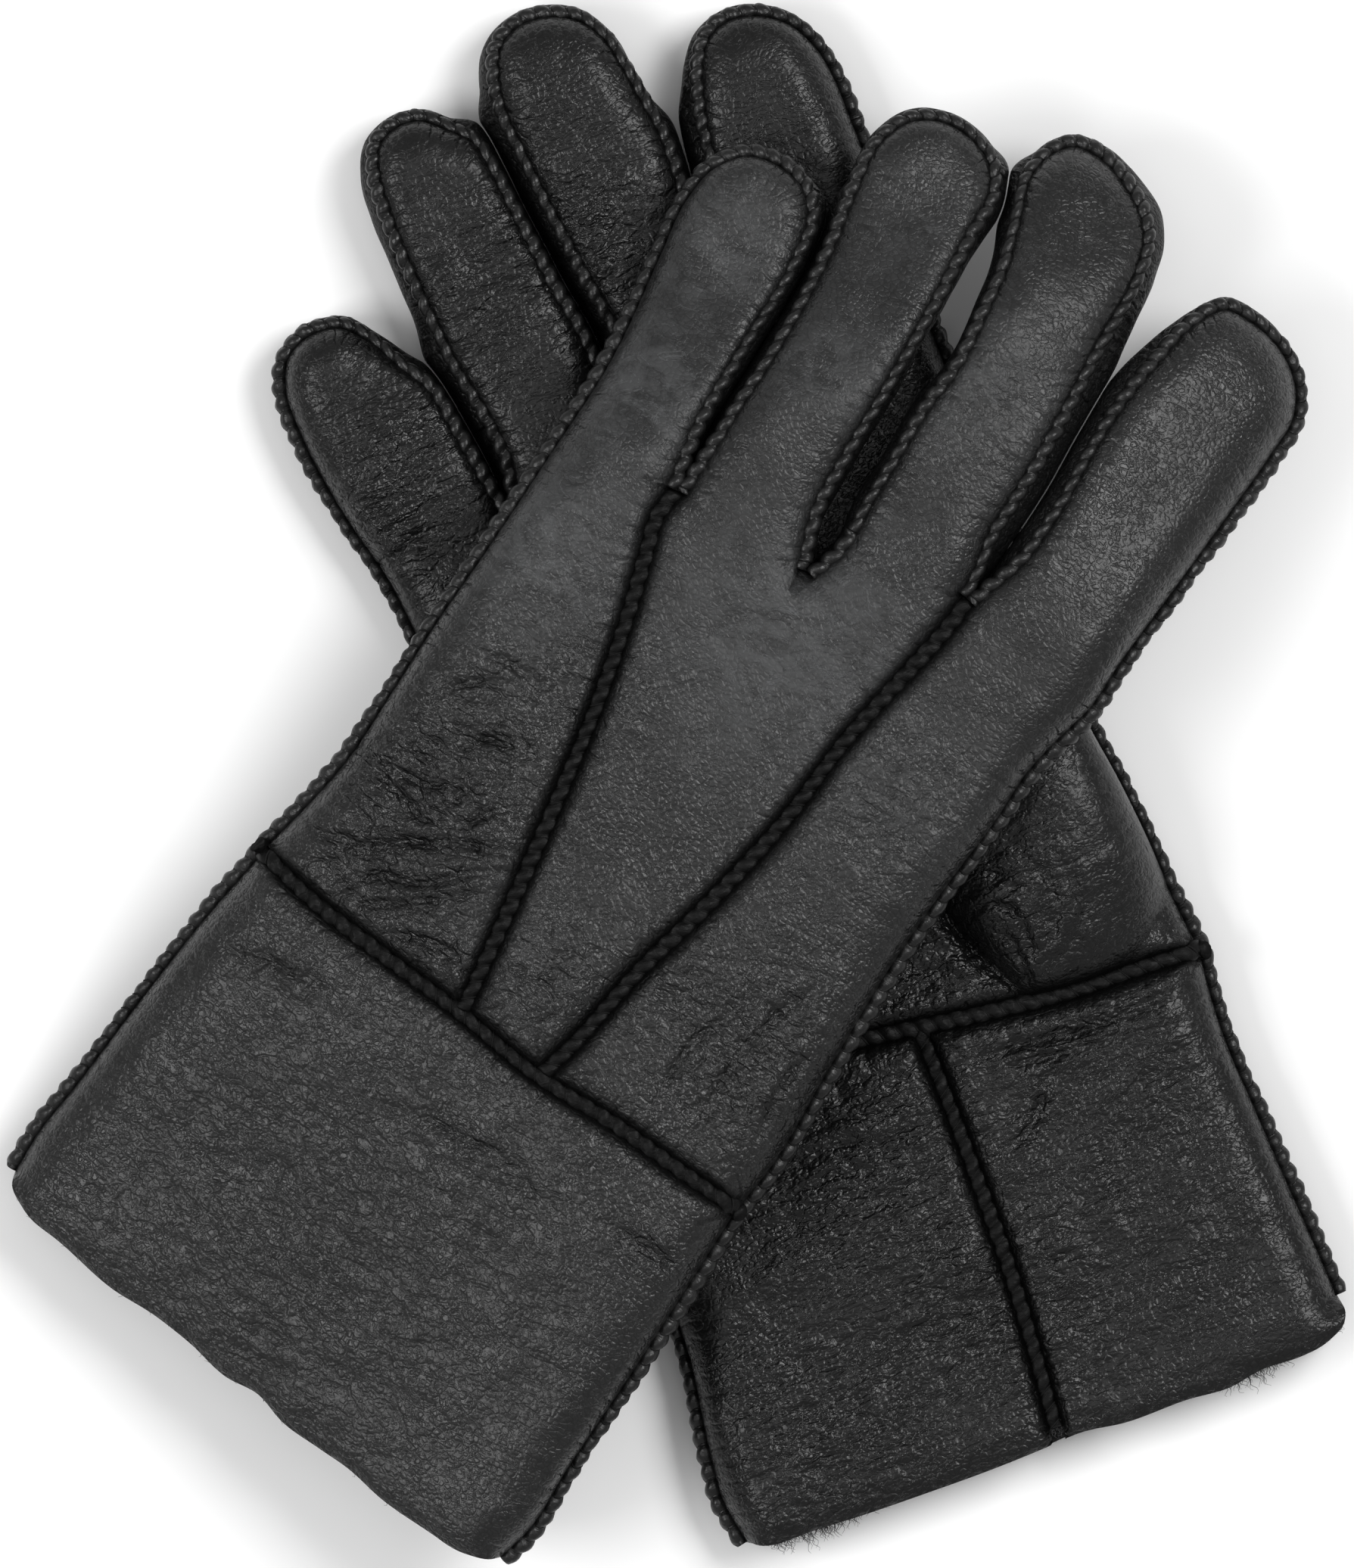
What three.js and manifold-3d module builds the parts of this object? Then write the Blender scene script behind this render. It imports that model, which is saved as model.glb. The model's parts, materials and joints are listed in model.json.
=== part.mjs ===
// A crossed pair of men's shearling gloves lying on a table, in millimetres.
// +Z is up, +Y runs towards the fingertips, and the origin is the middle of the pair's footprint.
// The right glove lies palm up on the table, the left glove lies palm down across it, and both
// thumbs are in between. Shearling is leather with its wool left on, so each panel is one skin:
// leather outside, clipped wool inside.
import * as THREE from "three";
import { mergeVertices } from "three/addons/utils/BufferGeometryUtils.js";
import Module from "manifold-3d";

const wasm = await Module();
wasm.setup();

// Driving dimensions
const GLOVE_THICKNESS = 20; // a stuffed hand or finger, lying flat
const SKIN = 4.5; // leather and clipped wool together
const WALL = 3; // a fourchette or a sewn side edge
const EDGE = 0.8; // how far a side wall stands in from the panels' edge
const GAP = 0.4; // clearance between neighbouring pieces
const SEAM = 2.6; // width of the groove a sewn seam lies in
const THREAD = 1.6; // width and depth of the thread in it
const THUMB_THICKNESS = 12;
const THUMB_SKIN = 2.6; // the thumb's inner skin, pressed flat
const THUMB_ROOF = 3.6; // the outer skin over the thumb's hollow
const THUMB_HOLE = 9; // radius of the hole the thumb is sewn round
const THREAD_DEPTH = 0.5; // how far the thread lies below the leather
const HINGE_GAP = 0.5; // between a finger and the hand, where the leather bends
const MITRE_LIMIT = 2.5; // how far a sharp corner of an offset line runs out
const CUT_MARGIN = 3; // how far a cut runs on past what it cuts
const TIP_GAP = 0.03; // radians between a finger's two side walls and the middle of its tip
const ARC_STEPS = 7; // chords in each curve of a plan shape
const SAME_PLACE = 1e-4; // points nearer than this are one point

const leather = new THREE.MeshStandardMaterial({ color: 0x2c2d2d, roughness: 0.55, metalness: 0 });
const wornLeather = new THREE.MeshStandardMaterial({ color: 0x37393a, roughness: 0.7, metalness: 0 });
const thread = new THREE.MeshStandardMaterial({ color: 0x121212, roughness: 0.8, metalness: 0 });

// The left glove's height: flat over the right glove and its thumb, lower over the fingers, and
// drooping past the sides. It is bent only along straight creases, so every layer bends alike.
const ACROSS = new THREE.Vector2(0.94, 0.342); // square to the right glove's length
const ALONG = new THREE.Vector2(-0.342, 0.94); // along it, towards its fingertips
const LOWEST_LAYER = GLOVE_THICKNESS + THUMB_THICKNESS + 3 * GAP; // what the left glove's palm rests on
const FINGER_LAYER = GLOVE_THICKNESS + 2; // and what its little finger rests on
const DROOP_CREASES = [-152, -125, -100, -78, -58, -40, 82, 94, 108, 126, 146];
const STEP_CREASES = [58, 70, 84, 98];
const LEFT_EDGE = -36; // where its support ends on the little finger's side
const RIGHT_EDGE = 80; // and on the fingertips' side
const SIDE_DROOP = { slope: 0.34, bend: 20 };
const FINGER_DROOP = { slope: 0.38, bend: 16 };

// A flexible sheet past its support: level at first, then falling at a steady slope.
function droop(past, { slope, bend }) {
  return past > 0 ? slope * (Math.hypot(past, bend) - bend) : 0;
}

function restingHeight(across, along) {
  const step = THREE.MathUtils.smoothstep(along, STEP_CREASES[0], STEP_CREASES.at(-1));
  const support = THREE.MathUtils.lerp(LOWEST_LAYER, FINGER_LAYER, step);
  return support - droop(LEFT_EDGE - across, SIDE_DROOP) - droop(across - RIGHT_EDGE, FINGER_DROOP);
}

// Plan shapes -------------------------------------------------------------------------------------

const point = ([x, y]) => new THREE.Vector2(x, y);
const points = (list) => list.map(point);

// A finger lies straight from the middle of its bending line to the centre of its round tip.
function finger(base, halfWidth, tip, tipRadius) {
  const from = point(base);
  const to = point(tip);
  const ahead = to.clone().sub(from).normalize();
  const right = new THREE.Vector2(ahead.y, -ahead.x);
  return { from, to, ahead, right, halfWidth, tipRadius };
}

function beside(centre, right, distance) {
  return centre.clone().addScaledVector(right, distance);
}

// The end of a finger's bending line: side is -1 for its left and 1 for its right.
function corner(f, side, back = HINGE_GAP / 2) {
  return beside(f.from, f.right, side * f.halfWidth).addScaledVector(f.ahead, -back);
}

function fingerOutline(f) {
  const shape = new THREE.Shape();
  const start = f.from.clone().addScaledVector(f.ahead, HINGE_GAP / 2);
  const left = beside(start, f.right, -f.halfWidth);
  const right = beside(start, f.right, f.halfWidth);
  const facing = Math.atan2(f.right.y, f.right.x);
  shape.moveTo(left.x, left.y).lineTo(right.x, right.y);
  shape.absarc(f.to.x, f.to.y, f.tipRadius, facing, facing + Math.PI, false);
  return shape;
}

// One side wall of a finger, from its bending line round to the middle of its tip.
function fingerWall(f, side) {
  const shape = new THREE.Shape();
  const start = f.from.clone().addScaledVector(f.ahead, HINGE_GAP / 2);
  const outer = beside(start, f.right, side * (f.halfWidth - EDGE));
  const inner = beside(start, f.right, side * (f.halfWidth - EDGE - WALL));
  const facing = Math.atan2(side * f.right.y, side * f.right.x);
  const middle = facing + side * (Math.PI / 2 - TIP_GAP);
  shape.moveTo(inner.x, inner.y).lineTo(outer.x, outer.y);
  shape.absarc(f.to.x, f.to.y, f.tipRadius - EDGE, facing, middle, side < 0);
  shape.absarc(f.to.x, f.to.y, f.tipRadius - EDGE - WALL, middle, facing, side > 0);
  return shape;
}

// A line moved sideways, to its left for a positive distance, with its corners kept sharp.
function offsetLine(line, distance) {
  const side = (a, b) => new THREE.Vector2(a.y - b.y, b.x - a.x).normalize();
  return line.map((p, i) => {
    const before = i > 0 ? side(line[i - 1], p) : side(p, line[1]);
    const after = i < line.length - 1 ? side(p, line[i + 1]) : before;
    const stretch = Math.min(1 / (1 + before.dot(after)), MITRE_LIMIT);
    return p.clone().addScaledVector(before.add(after), distance * stretch);
  });
}

// A band between two offsets of a line.
function band(line, near, far) {
  return new THREE.Shape([...offsetLine(line, near), ...offsetLine(line, far).reverse()]);
}

// A line with both ends drawn out a little, so that a cut along it goes right through.
function drawnOut(line, more) {
  const first = line[0].clone().sub(line[1]).normalize().multiplyScalar(more).add(line[0]);
  const last = line.at(-1).clone().sub(line.at(-2)).normalize().multiplyScalar(more).add(line.at(-1));
  return [first, ...line, last];
}

// Solids ------------------------------------------------------------------------------------------

function prism(shape, [low, high]) {
  const options = { depth: high - low, bevelEnabled: false, curveSegments: ARC_STEPS };
  return new THREE.ExtrudeGeometry(shape, options).translate(0, 0, low);
}

function solid(shape, heights) {
  const geometry = prism(shape, heights);
  geometry.deleteAttribute("normal");
  geometry.deleteAttribute("uv");
  const merged = mergeVertices(geometry, SAME_PLACE);
  const vertProperties = merged.attributes.position.array;
  const triVerts = new Uint32Array(merged.index.array);
  return new wasm.Manifold(new wasm.Mesh({ numProp: 3, vertProperties, triVerts }));
}

function geometryOf(made) {
  const mesh = made.getMesh();
  const geometry = new THREE.BufferGeometry();
  geometry.setAttribute("position", new THREE.BufferAttribute(new Float32Array(mesh.vertProperties), 3));
  geometry.setIndex(new THREE.BufferAttribute(new Uint32Array(mesh.triVerts), 1));
  return geometry;
}

// Splits every triangle that crosses the upright plane where dot(direction, xy) is level.
function creased(triangles, direction, level) {
  const height = (v) => {
    const past = v.x * direction.x + v.y * direction.y - level;
    return Math.abs(past) < SAME_PLACE ? 0 : past;
  };
  const parts = [];
  for (const triangle of triangles) {
    const h = triangle.map(height);
    if (Math.min(...h) >= 0 || Math.max(...h) <= 0) {
      parts.push(triangle);
      continue;
    }
    // The corner on the one side has no other corner on that side.
    const alone = h.findIndex((a, i) => a !== 0 && a * h[(i + 1) % 3] <= 0 && a * h[(i + 2) % 3] <= 0);
    const order = [0, 1, 2].map((i) => (alone + i) % 3);
    const [a, b, c] = order.map((i) => triangle[i]);
    const [ha, hb, hc] = order.map((i) => h[i]);
    const onEdge = (p, q, hp, hq) => (hq === 0 ? q.clone() : cut(p, q, hp, hq));
    const ab = onEdge(a, b, ha, hb);
    const ac = onEdge(a, c, ha, hc);
    parts.push([a, ab, ac]);
    if (hb !== 0) parts.push([ab, b, hc === 0 ? ac : c]);
    if (hc !== 0) parts.push([ab, c, ac]);
  }
  return parts;
}

// Where an edge meets the plane, worked out from the same end whichever triangle asks.
function cut(p, q, hp, hq) {
  return hp < hq ? p.clone().lerp(q, hp / (hp - hq)) : q.clone().lerp(p, hq / (hq - hp));
}

// Lays a flat piece over what is under the left glove.
function draped(geometry) {
  const flat = geometry.index ? geometry.toNonIndexed() : geometry;
  const position = flat.getAttribute("position");
  const cornerAt = (_, i) => new THREE.Vector3().fromBufferAttribute(position, i);
  const corners = Array.from({ length: position.count }, cornerAt);
  let triangles = [];
  for (let i = 0; i < corners.length; i += 3) triangles.push(corners.slice(i, i + 3));
  for (const level of DROOP_CREASES) triangles = creased(triangles, ACROSS, level);
  for (const level of STEP_CREASES) triangles = creased(triangles, ALONG, level);
  const lifted = triangles.flat().map((v) => new THREE.Vector3(v.x, v.y, v.z + heightAt(v)));
  return new THREE.BufferGeometry().setFromPoints(lifted);
}

// The resting height, taken as straight between the creases.
function heightAt(v) {
  const across = v.x * ACROSS.x + v.y * ACROSS.y;
  const along = v.x * ALONG.x + v.y * ALONG.y;
  const sideways = between(DROOP_CREASES, across, (level) => restingHeight(level, 0) - LOWEST_LAYER);
  return sideways + between(STEP_CREASES, along, (level) => restingHeight(0, level));
}

function between(levels, value, height) {
  const next = levels.findIndex((level) => level > value);
  if (next <= 0) return height(next < 0 ? levels.at(-1) : levels[0]);
  const [a, b] = [levels[next - 1], levels[next]];
  return THREE.MathUtils.mapLinear(value, a, b, height(a), height(b));
}

// The gloves' plans -------------------------------------------------------------------------------

const leftPlan = {
  name: "left",
  palmUp: false,
  fingers: {
    little: finger([-11.1, 64.4], 12.4, [14.7, 112.5], 13),
    ring: finger([12.9, 52], 13, [49.6, 118.8], 13.8),
    middle: finger([46.3, 47.2], 15, [81, 111.5], 15.4),
    index: finger([74.5, 31], 16, [107.5, 80], 16),
  },
  wrist: points([[-82.5, -12.5], [-57, -34], [-28, -57], [-9, -69], [13.4, -84.5]]),
  outerSide: points([[-82.5, -11], [-71, 0], [-62, 11.5], [-53.5, 26], [-38.5, 47.5]]),
  innerSide: points([[82, 12.5], [70.3, 1], [60.3, -14], [44.6, -35.5], [32.4, -55.5], [13.4, -84.5]]),
  cuffOuter: points([[-132, -74.5], [-120.3, -58.5], [-106, -39.5], [-92.8, -23]]),
  cuffInner: points([[10, -89], [-2, -109], [-19.3, -135.5], [-29.5, -151]]),
  hem: points([
    [-34.5, -153.7], [-58, -140.5], [-77.5, -125.5], [-95.8, -110], [-111, -99.5], [-129.5, -83],
    [-132.7, -77],
  ]),
  forks: { ring_middle: points([[25.4, 41.4]]) },
  backSeams: [
    points([[0.4, 56.5], [-5.9, 45.7], [-12.5, 26], [-25.5, -7.8], [-41.5, -45.5]]),
    points([[59.3, 37.8], [46.7, 23.1], [21.2, -7.5], [-1, -30.5], [-27.5, -57.5]]),
  ],
  cuffSeam: points([[-33, -52], [-58, -90], [-84, -123]]),
  thumb: finger([30, -25], 15, [14, 30], 12.5),
  thumbHole: point([28, -19]),
};

const rightPlan = {
  name: "right",
  palmUp: true,
  fingers: {
    little: finger([-48.9, 50], 14.3, [-65, 78.5], 14),
    ring: finger([-30.4, 81.2], 14, [-48.3, 119], 14.2),
    middle: finger([-12.6, 115.5], 14, [-23.5, 138.3], 15.6),
    index: finger([20, 130], 15.6, [17, 138], 16.1),
  },
  wrist: points([[-18, -64.5], [20, -54.5], [60, -45.5], [79, -40.5], [105.5, -32.5]]),
  outerSide: points([[-18, -63], [-31.5, -25], [-46, 12], [-54, 29.5]]),
  innerSide: points([[37, 128], [60.3, 69.6], [83, 10.5], [93.8, -8.6], [105.5, -32.5]]),
  cuffOuter: points([[9, -147.5], [4.5, -132.5], [0, -113], [-9, -88]]),
  cuffInner: points([[106, -37.5], [115, -62], [127.2, -89], [132.7, -102]]),
  hem: points([[130.5, -108.5], [107, -119], [75, -129.8], [49, -139.7], [14, -151.5]]),
  forks: {
    little_ring: points([[-31.5, 51]]),
    ring_middle: points([[-4, 57.5]]),
    middle_index: points([[23, 72]]),
  },
  backSeams: [
    points([[-31.5, 53], [-22, 32], [-5, -8], [14, -57]]),
    points([[23, 74], [38, 40], [52, 0], [66, -44]]),
  ],
  cuffSeam: points([[46, -48.9], [54, -65], [65, -96], [76, -132]]),
  thumb: finger([74, -12], 15, [57, 43], 12.5),
  thumbHole: point([73, -6]),
};

// The hand's outline, from the wrist's outer end up the little finger's side, past every finger,
// and down the other side.
function handOutline(plan) {
  const { little, ring, middle, index } = plan.fingers;
  const fork = (name) => plan.forks[name] ?? [];
  const wristLine = offsetLine(plan.wrist, SEAM / 2);
  return new THREE.Shape([
    ...plan.outerSide.slice(1),
    corner(little, -1),
    corner(little, 1),
    ...fork("little_ring"),
    corner(ring, -1),
    corner(ring, 1),
    ...fork("ring_middle"),
    corner(middle, -1),
    corner(middle, 1),
    ...fork("middle_index"),
    corner(index, -1),
    corner(index, 1),
    ...plan.innerSide.slice(0, -1),
    ...wristLine.reverse(),
  ]);
}

function cuffOutline(plan) {
  return new THREE.Shape([
    ...plan.cuffOuter,
    ...offsetLine(plan.wrist, -SEAM / 2),
    ...plan.cuffInner,
    ...plan.hem,
  ]);
}

// Building one glove ------------------------------------------------------------------------------

const pair = new THREE.Group();

// A glove's layers, as [low, high] over its own underside.
const LOWER_SKIN = [0, SKIN];
const UPPER_SKIN = [GLOVE_THICKNESS - SKIN, GLOVE_THICKNESS];
const BETWEEN = [SKIN + GAP, GLOVE_THICKNESS - SKIN - GAP];

function add(plan, name, geometry, material) {
  const mesh = new THREE.Mesh(plan.palmUp ? geometry : draped(geometry), material);
  mesh.name = `${plan.name}_${name}`;
  pair.add(mesh);
}

function addFingers(plan, backSkin, palmSkin, backLeather) {
  for (const [name, f] of Object.entries(plan.fingers)) {
    add(plan, `${name}_finger_back`, prism(fingerOutline(f), backSkin), backLeather);
    add(plan, `${name}_finger_palm`, prism(fingerOutline(f), palmSkin), leather);
    const outer = name === "little" ? "side_edge" : "outer_fourchette";
    const inner = name === "index" ? "side_edge" : "inner_fourchette";
    add(plan, `${name}_finger_${outer}`, prism(fingerWall(f, -1), BETWEEN), leather);
    add(plan, `${name}_finger_${inner}`, prism(fingerWall(f, 1), BETWEEN), leather);
  }
}

// The V of each fourchette that is left below the bending lines, where the fork lies deep enough.
function addForkFourchettes(plan) {
  const order = ["little", "ring", "middle", "index"];
  for (const [i, name] of order.slice(0, -1).entries()) {
    const fork = plan.forks[`${name}_${order[i + 1]}`];
    const left = corner(plan.fingers[name], 1);
    const right = corner(plan.fingers[order[i + 1]], -1);
    const around = [left, ...fork, right];
    const shape = band(around, -EDGE, -EDGE - WALL);
    add(plan, `${name}_${order[i + 1]}_fourchette`, prism(shape, BETWEEN), leather);
  }
}

// The back is three panels: one for the little finger, one for the ring and middle fingers, and
// one for the index.
function addBack(plan, backSkin, backLeather) {
  const through = [backSkin[0] - CUT_MARGIN, backSkin[1] + CUT_MARGIN];
  let back = solid(handOutline(plan), backSkin);
  for (const seam of plan.backSeams) {
    const line = drawnOut(seam, CUT_MARGIN);
    back = back.subtract(solid(band(line, -SEAM / 2, SEAM / 2), through));
  }
  const middleOf = (part) => (part.boundingBox().min[0] + part.boundingBox().max[0]) / 2;
  const panels = back.decompose().sort((a, b) => middleOf(a) - middleOf(b));
  for (const [i, name] of ["little", "centre", "index"].entries()) {
    add(plan, `back_${name}_panel`, geometryOf(panels[i]), backLeather);
  }
}

function addPalm(plan, palmSkin) {
  const outline = handOutline(plan);
  const hole = new THREE.Path().absarc(plan.thumbHole.x, plan.thumbHole.y, THUMB_HOLE, 0, 2 * Math.PI);
  outline.holes.push(hole);
  add(plan, "palm_panel", prism(outline, palmSkin), leather);
}

function addCuff(plan, backSkin, palmSkin) {
  add(plan, "cuff_back", prism(cuffOutline(plan), backSkin), leather);
  const through = [palmSkin[0] - CUT_MARGIN, palmSkin[1] + CUT_MARGIN];
  const line = drawnOut(plan.cuffSeam, 2 * CUT_MARGIN);
  const slit = solid(band(line, -SEAM / 2, SEAM / 2), through);
  const halves = solid(cuffOutline(plan), palmSkin).subtract(slit).decompose();
  halves.sort((a, b) => a.boundingBox().min[0] - b.boundingBox().min[0]);
  add(plan, "cuff_palm_outer", geometryOf(halves[0]), leather);
  add(plan, "cuff_palm_inner", geometryOf(halves[1]), leather);
}

// The sewn edge down each side, from the finger's bending line to the hem.
function addSideEdges(plan) {
  const outer = [...plan.cuffOuter, ...plan.outerSide.slice(1), corner(plan.fingers.little, -1)];
  const inner = [corner(plan.fingers.index, 1), ...plan.innerSide.slice(0, -1), ...plan.cuffInner];
  add(plan, "outer_side_edge", prism(band(outer, -EDGE, -EDGE - WALL), BETWEEN), leather);
  add(plan, "inner_side_edge", prism(band(inner, -EDGE, -EDGE - WALL), BETWEEN), leather);
}

// The thread of the seams that show on top, each lying in its groove.
function addSeamThread(plan, name, seams) {
  const top = GLOVE_THICKNESS - THREAD_DEPTH;
  const heights = [top - THREAD, top];
  const strips = seams.map((seam) => solid(band(seam, -THREAD / 2, THREAD / 2), heights));
  add(plan, name, geometryOf(strips.reduce((all, strip) => all.add(strip))), thread);
}

// The thumb lies flat on the palm. Its outer skin is a tray that covers the thumb hole, and its
// inner skin closes it.
function addThumb(plan) {
  const onPalm = (near, far) => {
    const heights = [GLOVE_THICKNESS + near, GLOVE_THICKNESS + far];
    return plan.palmUp ? heights : heights.map((h) => GLOVE_THICKNESS - h).reverse();
  };
  const trayNear = GAP + THUMB_SKIN + GAP;
  const trayFar = GAP + THUMB_THICKNESS;
  const outside = fingerOutline(plan.thumb);
  const { from, to, halfWidth, tipRadius } = plan.thumb;
  const innerBase = from.clone().addScaledVector(plan.thumb.ahead, WALL).toArray();
  const inside = fingerOutline(finger(innerBase, halfWidth - WALL, to.toArray(), tipRadius - WALL));
  const hollow = solid(inside, onPalm(trayNear - CUT_MARGIN, trayFar - THUMB_ROOF));
  add(plan, "thumb_outer", geometryOf(solid(outside, onPalm(trayNear, trayFar)).subtract(hollow)), leather);
  const clearOfHole = plan.thumbHole.clone().addScaledVector(plan.thumb.ahead, THUMB_HOLE).toArray();
  const inner = finger(clearOfHole, halfWidth - 1, to.toArray(), tipRadius);
  add(plan, "thumb_inner", prism(fingerOutline(inner), onPalm(GAP, GAP + THUMB_SKIN)), leather);
}

function addGlove(plan) {
  const backSkin = plan.palmUp ? LOWER_SKIN : UPPER_SKIN;
  const palmSkin = plan.palmUp ? UPPER_SKIN : LOWER_SKIN;
  const backLeather = plan.palmUp ? leather : wornLeather;
  addBack(plan, backSkin, backLeather);
  addPalm(plan, palmSkin);
  addCuff(plan, backSkin, palmSkin);
  addSideEdges(plan);
  addFingers(plan, backSkin, palmSkin, backLeather);
  addThumb(plan);
}

addGlove(rightPlan);
addForkFourchettes(rightPlan);
addSeamThread(rightPlan, "palm_seam_thread", [rightPlan.wrist, rightPlan.cuffSeam]);
addGlove(leftPlan);
addSeamThread(leftPlan, "back_seam_thread", [leftPlan.wrist, ...leftPlan.backSeams]);

export default pair;
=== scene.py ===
import json
import math

import bpy
import numpy as np
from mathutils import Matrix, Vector
from mathutils.geometry import delaunay_2d_cdt
from mathutils.kdtree import KDTree

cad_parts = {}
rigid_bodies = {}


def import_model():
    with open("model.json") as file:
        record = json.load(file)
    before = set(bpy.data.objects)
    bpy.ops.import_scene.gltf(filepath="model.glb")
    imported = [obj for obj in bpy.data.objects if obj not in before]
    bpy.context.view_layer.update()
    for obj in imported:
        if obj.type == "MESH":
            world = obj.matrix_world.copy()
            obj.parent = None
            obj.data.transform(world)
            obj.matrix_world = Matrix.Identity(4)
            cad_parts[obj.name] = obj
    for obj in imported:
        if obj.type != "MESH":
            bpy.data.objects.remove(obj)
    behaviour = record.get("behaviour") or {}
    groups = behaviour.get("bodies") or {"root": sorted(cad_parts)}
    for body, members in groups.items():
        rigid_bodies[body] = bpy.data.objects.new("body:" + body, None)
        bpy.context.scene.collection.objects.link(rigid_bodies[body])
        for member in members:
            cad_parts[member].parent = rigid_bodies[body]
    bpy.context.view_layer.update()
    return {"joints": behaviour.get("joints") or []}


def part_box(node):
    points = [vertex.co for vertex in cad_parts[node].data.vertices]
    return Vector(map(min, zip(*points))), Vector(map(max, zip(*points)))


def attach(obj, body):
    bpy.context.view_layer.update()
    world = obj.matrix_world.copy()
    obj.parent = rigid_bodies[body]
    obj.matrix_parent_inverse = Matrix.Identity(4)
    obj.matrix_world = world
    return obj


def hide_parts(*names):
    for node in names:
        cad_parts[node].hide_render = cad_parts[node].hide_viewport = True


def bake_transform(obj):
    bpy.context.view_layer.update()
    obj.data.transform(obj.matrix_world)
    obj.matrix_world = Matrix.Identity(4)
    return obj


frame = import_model()

# A crossed pair of black shearling gloves. Lengths are millimetres until a mesh is made.
MM = 0.001
FINGERS = ("little", "ring", "middle", "index")
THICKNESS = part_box("right_palm_panel")[1].z / MM  # of a hand lying flat
HALF = THICKNESS / 2
PITCH = 3.5  # of the whip stitches
SAMPLES = 4  # points of a seam for each stitch
RINGS = (0.4, 1.0, 1.8, 2.8, 4.0)  # rows of points that follow a seam, from its line inwards
CREASE_ROWS = (0, 0.7, -0.7, 1.5, -1.5)  # rows of points that follow a crease
CREASE_GAP = 0.6  # from an edge to the ends of those rows
SKIN = 3.6  # leather and wool, away from the seams
LEATHER_SHARE = 0.3  # of the skin's thickness
SPACING = 1.15  # of the points inside a panel

# The left glove lies on the right glove and its thumb, and droops past their sides.
ACROSS = np.array((0.94, 0.342))  # square to the right glove's length
ALONG = np.array((-0.342, 0.94))
THUMB_THICKNESS = 12
GAP = 0.4
LOWEST_LAYER = THICKNESS + THUMB_THICKNESS + 3 * GAP
FINGER_LAYER = THICKNESS + 2
STEP = (58, 98)  # where the support falls from the one to the other
LEFT_DROOP = (-36, 0.34, 20)  # where it starts, its slope, and how far it takes to reach it
RIGHT_DROOP = (80, 0.38, 16)


# Small sums --------


def smoothstep(x, low, high):
    x = np.clip((x - low) / (high - low), 0, 1)
    return x * x * (3 - 2 * x)


def droop(past, slope, bend):
    return np.where(past > 0, slope * (np.hypot(past, bend) - bend), 0)


def drape(p):
    """The height of the left glove's underside over the table."""
    across, along = p @ ACROSS, p @ ALONG
    support = LOWEST_LAYER + (FINGER_LAYER - LOWEST_LAYER) * smoothstep(along, *STEP)
    left = droop(LEFT_DROOP[0] - across, *LEFT_DROOP[1:])
    right = droop(across - RIGHT_DROOP[0], *RIGHT_DROOP[1:])
    return support - left - right


def unit(vectors):
    return vectors / np.maximum(np.linalg.norm(vectors, axis=1), 1e-12)[:, None]


def outwards(curve):
    """Level unit vectors in space, to the left of a plan curve and so away from its panel."""
    return np.column_stack((-right_of(curve), np.zeros(len(curve))))


def resting(plan, p, z):
    """Points over the table, from their plan and their height in the glove when it is flat."""
    z = np.full(len(p), z, float)
    return np.column_stack((p, z + drape(p) if plan is left else z))


def noise(x, y, seed):
    """Smooth noise from about -1 to 1, with lumps about one unit across."""
    xi, yi = np.floor(x), np.floor(y)
    xf, yf = x - xi, y - yi

    def corner(dx, dy):
        mixed = np.sin((xi + dx) * 127.1 + (yi + dy) * 311.7 + seed * 74.7) * 43758.5453
        turn = (mixed - np.floor(mixed)) * 2 * math.pi
        return np.cos(turn) * (xf - dx) + np.sin(turn) * (yf - dy)

    u, v = (f * f * f * (f * (f * 6 - 15) + 10) for f in (xf, yf))
    low = corner(0, 0) * (1 - u) + corner(1, 0) * u
    high = corner(0, 1) * (1 - u) + corner(1, 1) * u
    return 1.5 * (low * (1 - v) + high * v)


def ridges(x, y, seed):
    """Noise with thin lines of value 1."""
    return np.clip(1 - 1.6 * np.abs(noise(x, y, seed)), 0, 1)


ROLL = 0.35  # a roll's height beside a fold, as a share of its depth
FOLD_REACH = 5  # how far from a fold the leather is creased


def folds(p, lines):
    """Creases pressed into the leather, each a line, its depth and its width, with a roll beside it."""
    height, near = np.zeros(len(p)), np.zeros(len(p))
    for points, depth, width in lines:
        line = spline(points)[0]
        distance, place = nearest(p, line)
        along = place / (len(line) - 1)
        fade = np.sqrt(np.clip(np.sin(np.pi * np.clip(along, 0.02, 0.98)), 0, 1))
        ragged = distance + 0.35 * width * noise(p[:, 0] / 2.3, p[:, 1] / 2.3, 77)
        valley = np.exp(-np.abs(ragged / width) ** 1.5)
        roll = np.exp(-((ragged - 2.3 * width) / (1.1 * width)) ** 2)
        height += fade * (ROLL * min(depth, 1.2) * roll - depth * valley)
        near = np.maximum(near, min(depth, 1.0) * fade * np.exp(-(distance / FOLD_REACH) ** 2))
    return height, near


def blobs(p, spots):
    """The strongest of some round spots, each (x, y, radius, strength)."""
    value = np.zeros(len(p))
    for x, y, radius, strength in spots:
        away = np.hypot(p[:, 0] - x, p[:, 1] - y) / radius
        value = np.maximum(value, strength * np.exp(-away * away))
    return value


# Curves --------


FINE_STEPS = 24  # between two given points, to measure a curve's length


def lengths(p):
    """The length of a polyline up to each of its points."""
    return np.concatenate(([0], np.cumsum(np.linalg.norm(np.diff(p, axis=0), axis=1))))


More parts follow.
